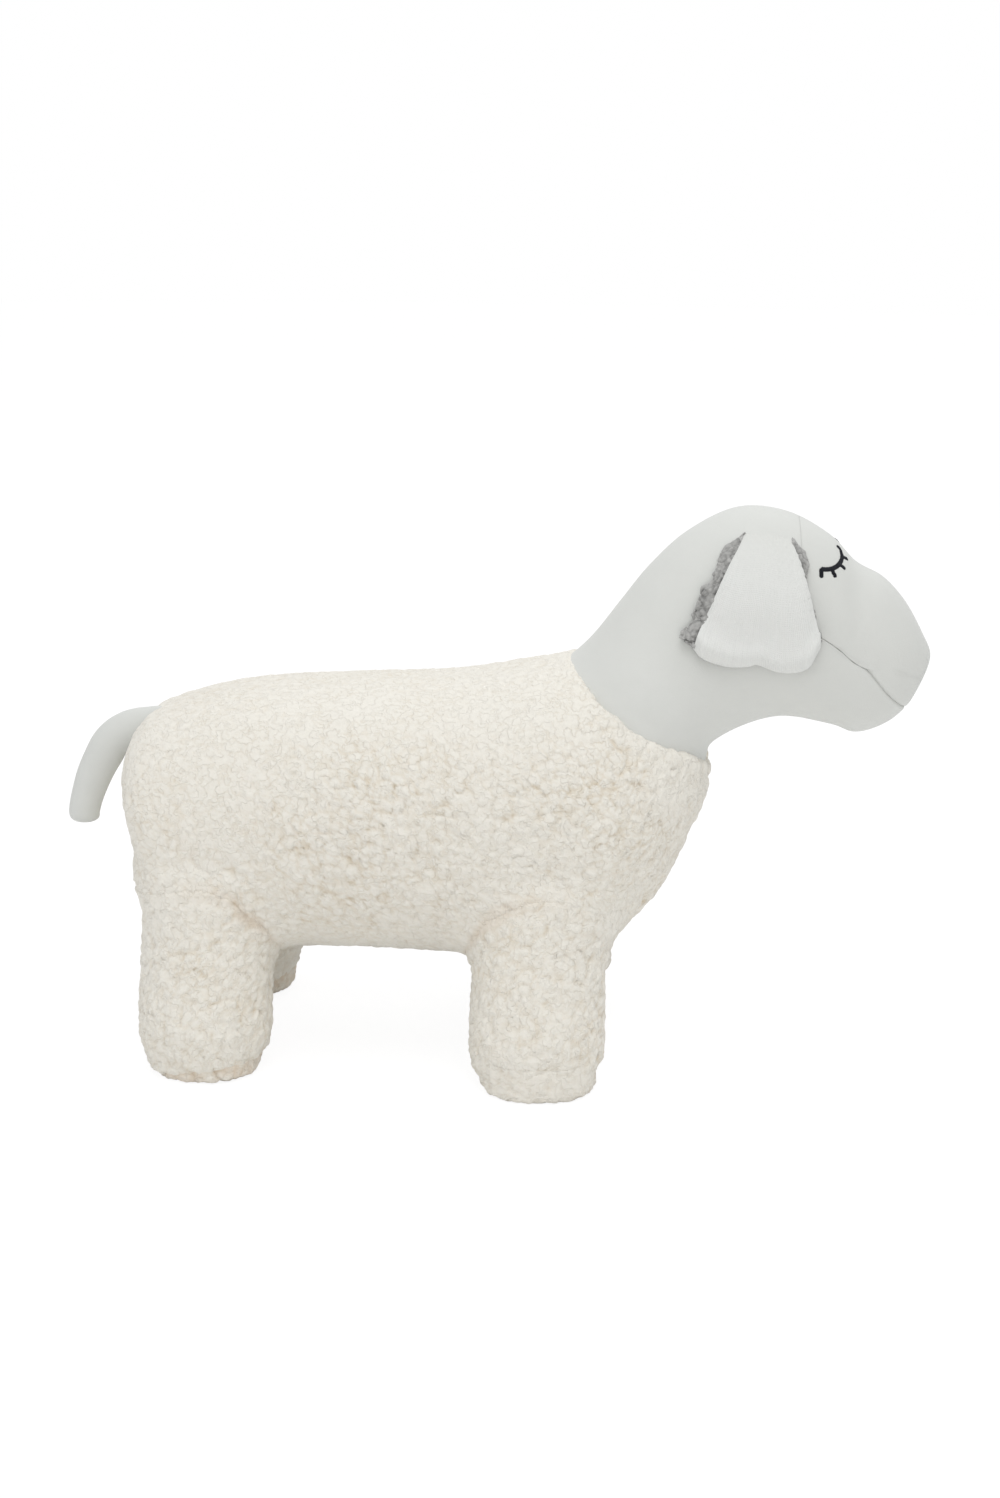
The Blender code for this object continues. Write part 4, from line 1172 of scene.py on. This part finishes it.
def make_ear_lining(ground, side_name):
    """The grey curly lining under the panel: a thin backing, and curls that stand past the side edges."""
    across, height = flat_ring(EAR_COLUMNS * 2, 2.3)
    down = np.linspace(LINING_TOP_SHARE, LINING_END_SHARE, EAR_ROWS)[:, None]
    across, down = np.broadcast_arrays(across, down)
    taper = np.sqrt(np.clip(1 - ((down - 0.48) / 0.46) ** 12, 0, 1))
    settled, sink = ear_settling(down)
    bumps = 1 + 0.22 * smooth_noise(down[..., None] * np.array([EAR_LENGTH, 0, 0]), LINING_BORDER_SIZE, 211)
    widening = ramp(down, LINING_TOP_SHARE, LINING_TOP_SHARE + 0.18) * bumps
    rear = EAR_REAR_BORDER * widening
    front = EAR_FRONT_BORDER * widening * (1 - 0.85 * ramp(down, 0.25, 0.53))
    rear_half, front_half = ear_halves(down)
    panel = np.where(across < 0, rear_half / (rear_half + rear), front_half / (front_half + front))
    open_share = smoothstep((np.abs(across) - panel + 0.06) / 0.10)
    bare = open_share * (1 - settled)
    lift = (EAR_CLEARANCE + EAR_LINING / 2) * settled - (sink + LINING_DIP * (1 - settled)) * (1 - bare)
    points, normal = ear_sheet(ground, across, down, lift, rear, front)
    thick = EAR_LINING / 2 * (0.12 + 0.88 * np.maximum(settled, 0.7 * bare)) * taper
    grid = points + normal * (height * thick)[..., None]
    moved = warped(grid, LINING_WARP_SIZE, LINING_WARP_REACH, 71)
    curl, crevice = tufts(moved, LINING_CURL_SIZE, 81)
    wind = winding(moved, LINING_WIND_SIZE, LINING_WIND_SHARE, 91)
    rise = (curl - 0.45) * LINING_CURL_HEIGHT - LINING_WIND_DEPTH * wind
    rise = rise + LINING_LOOSE_HEIGHT * smooth_noise(grid, LINING_LOOSE_SIZE, 95)
    rise = rise + LINING_FINE_HEIGHT * smooth_noise(grid, LINING_FINE_SIZE, 99)
    rise = np.where((rise > 0) & (height > 0), rise * open_share, rise) * np.maximum(settled, bare)
    grid = grid + outward(grid) * rise[..., None]
    mottle = 0.5 + 0.5 * smooth_noise(grid * np.array([1, -SIDES[side_name], 1]), LINING_MOTTLE_SIZE, 97)
    # Painted shade in the curls' crevices and windings, mixed with the lining's own mottled tone.
    shade = np.clip(0.35 * crevice + 0.30 * wind + 0.45 * mottle, 0, 1)
    curls = ear_piece("ear_curls", grid, side_name, "ear_lining", crevice=shade)
    grid = points + normal * (height * EAR_BACKING / 2 * taper)[..., None]
    backing = ear_piece("ear_backing", grid, side_name, "ear_lining")
    return curls, backing


# Tail


def make_tail():
    """The tail: a smooth knit tube that leaves the rump upwards, curves down and ends in a flat sewn tip."""
    turns = TAIL.even_turns(0.7, TAIL_COLUMNS)
    runs = TAIL.even_runs(turns, 0, 0.999, TAIL_ROWS)
    grid = TAIL.at(runs[:, None], turns[None, :])
    seam = np.zeros(grid.shape[:2])
    return padded_piece("tail_knit", grid, ("tail_cover", "tail_stuffing"), 0.8, seam=seam)


# Materials


def add(tree, kind, inputs=None, **settings):
    """A node of the kind with its settings, its inputs given values or linked to other nodes' outputs."""
    node = tree.nodes.new(kind)
    for key, value in settings.items():
        setattr(node, key, value)
    for key, value in (inputs or {}).items():
        if isinstance(value, bpy.types.NodeSocket):
            tree.links.new(value, node.inputs[key])
        else:
            node.inputs[key].default_value = value
    return node


def reckon(tree, operation, *terms, clamp=False):
    """The output of a Math node."""
    inputs = dict(enumerate(terms))
    return add(tree, "ShaderNodeMath", inputs, operation=operation, use_clamp=clamp).outputs[0]


def mixed(tree, factor, first, second):
    """A colour between two colours, each an output or three parts."""
    first, second = (c if isinstance(c, bpy.types.NodeSocket) else (*c, 1) for c in (first, second))
    return add(tree, "ShaderNodeMix", {0: factor, 6: first, 7: second}, data_type="RGBA").outputs[2]


def noise(tree, place, scale, detail):
    """The value of a noise texture."""
    return add(tree, "ShaderNodeTexNoise", {"Vector": place, "Scale": scale, "Detail": detail}).outputs[0]


def ranged(tree, value, source, target, **settings):
    """A value whose range from the source's ends is mapped to the target's ends."""
    ends = dict(zip(("From Min", "From Max", "To Min", "To Max"), (*source, *target)))
    return add(tree, "ShaderNodeMapRange", {"Value": value, **ends}, **settings).outputs["Result"]


def attribute(tree, name):
    """The value that a piece's points carry under a name."""
    return add(tree, "ShaderNodeAttribute", attribute_name=name).outputs["Fac"]


def new_group(name, *outputs):
    """A node group that takes a place and a size in metres: its tree, inputs, 1 / size and outputs."""
    tree = bpy.data.node_groups.new(name, "ShaderNodeTree")
    tree.interface.new_socket("Place", in_out="INPUT", socket_type="NodeSocketVector")
    tree.interface.new_socket("Size", in_out="INPUT", socket_type="NodeSocketFloat")
    for output in outputs:
        tree.interface.new_socket(output, in_out="OUTPUT", socket_type="NodeSocketFloat")
    given = tree.nodes.new("NodeGroupInput").outputs
    scale = reckon(tree, "DIVIDE", 1.0, given["Size"])
    return tree, given["Place"], given["Size"], scale, tree.nodes.new("NodeGroupOutput").inputs


def fibre_group():
    """Fine fibres of a cloth: a relief and a slow change of tone, each a noise."""
    tree, place, _, scale, result = new_group("cloth_fibres", "Relief", "Tone")
    tree.links.new(noise(tree, place, scale, 3.0), result["Relief"])
    tree.links.new(noise(tree, place, reckon(tree, "DIVIDE", scale, 24.0), 2.0), result["Tone"])
    return tree


def curl_group():
    """Small curls: domes of scattered cells bent by a noise, and furrows along a noise's middle value."""
    tree, place, size, scale, result = new_group("small_curls", "Height", "Furrow")
    bend = add(tree, "ShaderNodeTexNoise", {"Vector": place, "Scale": scale, "Detail": 1.0}).outputs["Color"]
    bend = add(tree, "ShaderNodeVectorMath", {0: bend, 1: (0.5, 0.5, 0.5)}, operation="SUBTRACT").outputs[0]
    reach = reckon(tree, "MULTIPLY", size, 1.4)
    bend = add(tree, "ShaderNodeVectorMath", {0: bend, "Scale": reach}, operation="SCALE").outputs[0]
    moved = add(tree, "ShaderNodeVectorMath", {0: place, 1: bend}, operation="ADD").outputs[0]
    cells = add(tree, "ShaderNodeTexVoronoi", {"Vector": moved, "Scale": scale}, feature="F1")
    away = cells.outputs["Distance"]
    dome = reckon(tree, "SUBTRACT", 1.0, reckon(tree, "MULTIPLY", away, away))
    wind = noise(tree, moved, reckon(tree, "MULTIPLY", scale, 0.55), 1.5)
    from_middle = reckon(tree, "ABSOLUTE", reckon(tree, "SUBTRACT", wind, 0.5))
    furrow = ranged(tree, from_middle, (0.0, 0.055), (1.0, 0.0), interpolation_type="SMOOTHSTEP")
    tree.links.new(reckon(tree, "SUBTRACT", dome, reckon(tree, "MULTIPLY", furrow, 0.6)), result["Height"])
    tree.links.new(furrow, result["Furrow"])
    return tree


FIBRES = fibre_group()
CURLS = curl_group()


def placed_group(tree, group, place, size):
    """The outputs of a node group at a place and a size in metres."""
    node = tree.nodes.new("ShaderNodeGroup")
    node.node_tree = group
    tree.links.new(place, node.inputs["Place"])
    node.inputs["Size"].default_value = size
    return node.outputs


def bump(tree, height, distance, strength, **under):
    """Normals tilted by a height, over those of another bump where one is given as Normal."""
    inputs = {"Height": height, "Distance": distance, "Strength": strength, **under}
    return add(tree, "ShaderNodeBump", inputs).outputs["Normal"]


def new_material(name):
    """An empty material, its node tree and its object coordinates."""
    material = bpy.data.materials.new(name)
    material.use_nodes = True
    tree = material.node_tree
    return material, tree, tree.nodes.new("ShaderNodeTexCoord").outputs["Object"]


def finish_cloth(tree, colour, normal, values):
    """Gives a material's shader its colour, its normal if there is one, and values the same all over."""
    shader = tree.nodes["Principled BSDF"].inputs
    tree.links.new(colour, shader["Base Color"])
    if normal is not None:
        tree.links.new(normal, shader["Normal"])
    for key, value in values.items():
        shader[key].default_value = value


def toned(colour, factors):
    """A colour with each part multiplied."""
    return [part * factor for part, factor in zip(colour, factors)]


def pile_material(name, tip, deep, fibre_size, curl_size):
    """Curly pile: pale tips, painted shade of a warmer tone down in the crevices and creases, small curls and
    fine fibres.
    """
    material, tree, place = new_material(name)
    relief, tone = placed_group(tree, FIBRES, place, fibre_size)
    curl_height, curl_furrow = placed_group(tree, CURLS, place, curl_size)
    patchy = ranged(tree, tone, (0.3, 0.7), (0.02, 0.24))
    # Painted shade in the crevices and the small curls' furrows, with a little fleck of the fibres' own tone.
    depth = reckon(tree, "ADD", attribute(tree, "crevice"), reckon(tree, "MULTIPLY", curl_furrow, patchy))
    flecks = reckon(tree, "MULTIPLY", reckon(tree, "SUBTRACT", relief, 0.5), 0.16)
    depth = reckon(tree, "ADD", depth, flecks, clamp=True)
    top = mixed(tree, tone, tip, toned(tip, (0.985, 0.985, 0.975)))
    top = mixed(tree, depth, top, deep)
    # Painted shade in the creases round the legs and on the soles' band: the colour turns to a deeper tone
    # there.
    creased = reckon(tree, "MULTIPLY", attribute(tree, "crease"), 0.5, clamp=True)
    colour = mixed(tree, creased, top, toned(deep, (1.04, 0.98, 1.0)))
    under = bump(tree, curl_height, curl_size * 0.16, 0.75)
    normal = bump(tree, relief, fibre_size * 0.5, 0.5, Normal=under)
    sheen = {"Sheen Weight": 0.15, "Sheen Roughness": 0.6}
    finish_cloth(tree, colour, normal, {"Roughness": 0.95, "Specular IOR Level": 0.1, **sheen})
    return material


def thread_material():
    """Black satin stitch: dark thread with a soft shine."""
    material, tree, place = new_material("black_thread")
    relief = placed_group(tree, FIBRES, place, 0.0003)["Relief"]
    colour = mixed(tree, relief, (0.006, 0.007, 0.011), (0.012, 0.013, 0.019))
    finish_cloth(tree, colour, None, {"Roughness": 0.6, "Specular IOR Level": 0.18})
    return material


def knit_material():
    """Smooth knit: fine loops that barely show, a slow change of tone and darker seams."""
    material, tree, place = new_material("pale_knit")
    relief, tone = placed_group(tree, FIBRES, place, 0.0006)
    seam = reckon(tree, "MULTIPLY", attribute(tree, "seam"), 0.35)
    colour = mixed(tree, tone, (0.684, 0.695, 0.671), (0.656, 0.668, 0.645))
    colour = mixed(tree, seam, colour, (0.40, 0.41, 0.38))
    sheen = {"Sheen Weight": 0.15, "Sheen Roughness": 0.5}
    normal = bump(tree, relief, 0.0003, 0.35)
    finish_cloth(tree, colour, normal, {"Roughness": 0.9, "Specular IOR Level": 0.15, **sheen})
    return material


def weave_material():
    """Fine ribbed weave: threads down the cloth and threads across it, each a row of sine waves.

    Uneven ribs run down it, and towards the root it fades to the plain tone of the knit.
    """
    material, tree, place = new_material("white_weave")
    relief, tone = placed_group(tree, FIBRES, place, 0.0007)
    across, down, root = (attribute(tree, name) for name in ("cloth_across", "cloth_down", "root"))
    threads = []
    for along, pitch, height in ((across, 0.00105, 0.5), (down, 0.0009, 0.35)):
        wave = reckon(tree, "SINE", reckon(tree, "MULTIPLY", along, 2 * math.pi / pitch))
        threads.append(reckon(tree, "MULTIPLY", wave, height))
    weave = reckon(tree, "ADD", *threads)
    stretched = {"X": reckon(tree, "MULTIPLY", across, 900.0), "Y": reckon(tree, "MULTIPLY", down, 70.0)}
    rib = noise(tree, add(tree, "ShaderNodeCombineXYZ", stretched).outputs[0], 1.0, 1.0)
    ribbed = reckon(tree, "ADD", weave, reckon(tree, "MULTIPLY", rib, 0.4))
    free = reckon(tree, "SUBTRACT", 1.0, root)
    height = reckon(tree, "ADD", reckon(tree, "MULTIPLY", ribbed, free), relief)
    shade = reckon(tree, "MULTIPLY_ADD", weave, 0.07, 0.03, clamp=True)
    streak = reckon(tree, "MULTIPLY", reckon(tree, "SUBTRACT", rib, 0.45), 0.22)
    shade = reckon(tree, "ADD", shade, streak, clamp=True)
    colour = mixed(tree, tone, (0.765, 0.775, 0.76), (0.735, 0.747, 0.73))
    colour = mixed(tree, shade, colour, (0.55, 0.56, 0.53))
    colour = mixed(tree, root, colour, (0.662, 0.671, 0.646))
    normal = bump(tree, height, 0.00025, 0.4)
    finish_cloth(tree, colour, normal, {"Roughness": 0.9, "Specular IOR Level": 0.15, "Sheen Weight": 0.1})
    return material


def seen_rays(tree):
    """1 where the camera looks, straight, in a mirror or through glass, and 0 where light is gathered."""
    path = tree.nodes.new("ShaderNodeLightPath").outputs
    seen = reckon(tree, "MAXIMUM", path["Is Camera Ray"], path["Is Glossy Ray"])
    return reckon(tree, "MAXIMUM", seen, path["Is Transmission Ray"])


def floor_material():
    """A pale floor that keeps shadows, and that the camera and mirrors see as white where none falls."""
    material, tree, _ = new_material("pale_floor")
    tree.nodes.remove(tree.nodes["Principled BSDF"])
    matte = add(tree, "ShaderNodeBsdfDiffuse", {"Color": (*[FLOOR_PALENESS] * 3, 1)}).outputs[0]
    faint = add(tree, "ShaderNodeBsdfDiffuse", {"Color": (*[FLOOR_SHADING] * 3, 1)}).outputs[0]
    glow = add(tree, "ShaderNodeEmission", {"Color": (1, 1, 1, 1), "Strength": FLOOR_GLOW}).outputs[0]
    lifted = add(tree, "ShaderNodeAddShader", {0: faint, 1: glow}).outputs[0]
    both = add(tree, "ShaderNodeMixShader", {0: seen_rays(tree), 1: matte, 2: lifted})
    tree.links.new(both.outputs[0], tree.nodes["Material Output"].inputs["Surface"])
    return material


# Stage, light and camera


def make_stage():
    """A pale floor, a plain sky that the camera sees as white, and four large soft lamps."""
    turn = np.linspace(0, 2 * math.pi, FLOOR_SIDES, endpoint=False)
    x, y = FLOOR_RADIUS * np.cos(turn), FLOOR_RADIUS * np.sin(turn)
    mesh = bpy.data.meshes.new("floor")
    points = np.stack([x, y, np.full(FLOOR_SIDES, -FLOOR_DROP)], axis=-1)
    mesh.from_pydata(points.tolist(), [], [list(range(FLOOR_SIDES))])
    floor = bpy.data.objects.new("floor", mesh)
    bpy.context.scene.collection.objects.link(floor)
    floor.data.materials.append(floor_material())

    world = bpy.data.worlds.new("plain_sky")
    world.use_nodes = True
    bpy.context.scene.world = world
    tree = world.node_tree
    levels = {"Factor": seen_rays(tree), "A": SKY_LIGHT, "B": 1.0}
    strength = add(tree, "ShaderNodeMix", levels, data_type="FLOAT")
    background = tree.nodes["Background"].inputs
    background["Color"].default_value = (1, 1, 1, 1)
    tree.links.new(strength.outputs[0], background["Strength"])

    for name, place, size, power, colour in LAMPS:
        light = bpy.data.lights.new(name, "AREA")
        light.shape = "DISK"
        light.size = size
        light.energy = power
        light.color = colour
        lamp = bpy.data.objects.new(name, light)
        lamp.location = place
        lamp.rotation_euler = (Vector(CAMERA_TARGET) - Vector(place)).to_track_quat("-Z", "Y").to_euler()
        bpy.context.scene.collection.objects.link(lamp)


def make_camera():
    """The camera at the picture's viewing angle: out from the target by its distance, and rolled a little."""
    a, e, r = CAMERA_AZIMUTH, CAMERA_ELEVATION, CAMERA_ROLL
    back = Vector((math.sin(a) * math.cos(e), -math.cos(a) * math.cos(e), math.sin(e)))
    right = Vector((math.cos(a), math.sin(a), 0))
    up = back.cross(right)
    across = math.cos(r) * right + math.sin(r) * up
    upwards = -math.sin(r) * right + math.cos(r) * up
    data = bpy.data.cameras.new("picture_camera")
    data.sensor_width = SENSOR
    data.lens = PICTURE_FOCAL / PICTURE_HEIGHT * SENSOR
    camera = bpy.data.objects.new("picture_camera", data)
    turn = Matrix((across, upwards, back)).transposed().to_4x4()
    camera.matrix_world = Matrix.Translation(Vector(CAMERA_TARGET) + back * CAMERA_DISTANCE) @ turn
    bpy.context.scene.collection.objects.link(camera)
    bpy.context.scene.camera = camera


def dress(piece, body, material):
    """Gives a piece its finish and lets it move with a body of the frame.

    An ear's piece is not attached to its body: its place is baked into its points.
    """
    piece.data.materials.append(material)
    if body.startswith("ear_"):
        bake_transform(piece)
    else:
        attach(piece, body)


def main():
    """The whole scene: camera and light first, then the sheep's pieces from the body to the tail."""
    bpy.context.scene.view_settings.view_transform = "Standard"
    make_camera()
    make_stage()
    # The second colour of each pile is painted shade for its crevices and creases.
    fleece = pile_material("cream_fleece", (0.832, 0.808, 0.747), (0.64, 0.545, 0.405), 0.0009, 0.0026)
    curls = pile_material("grey_curls", (0.50, 0.50, 0.49), (0.21, 0.21, 0.205), 0.0005, 0.0014)
    knit, weave, thread = knit_material(), weave_material(), thread_material()
    dress(make_body(), "root", fleece)
    for pair, side_name in itertools.product(LEG_PAIRS, SIDES):
        dress(make_leg(pair, side_name), "root", fleece)
        dress(make_sole(pair, side_name), "root", fleece)
    for piece in make_head():
        dress(piece, "root", knit)
    for side_name in SIDES:
        dress(make_eye(side_name), "root", thread)
    ground = EarGround()
    for side_name in SIDES:
        dress(make_ear_cloth(ground, side_name), "ear_" + side_name, weave)
        for piece in make_ear_lining(ground, side_name):
            dress(piece, "ear_" + side_name, curls)
    dress(make_tail(), "tail", knit)


main()
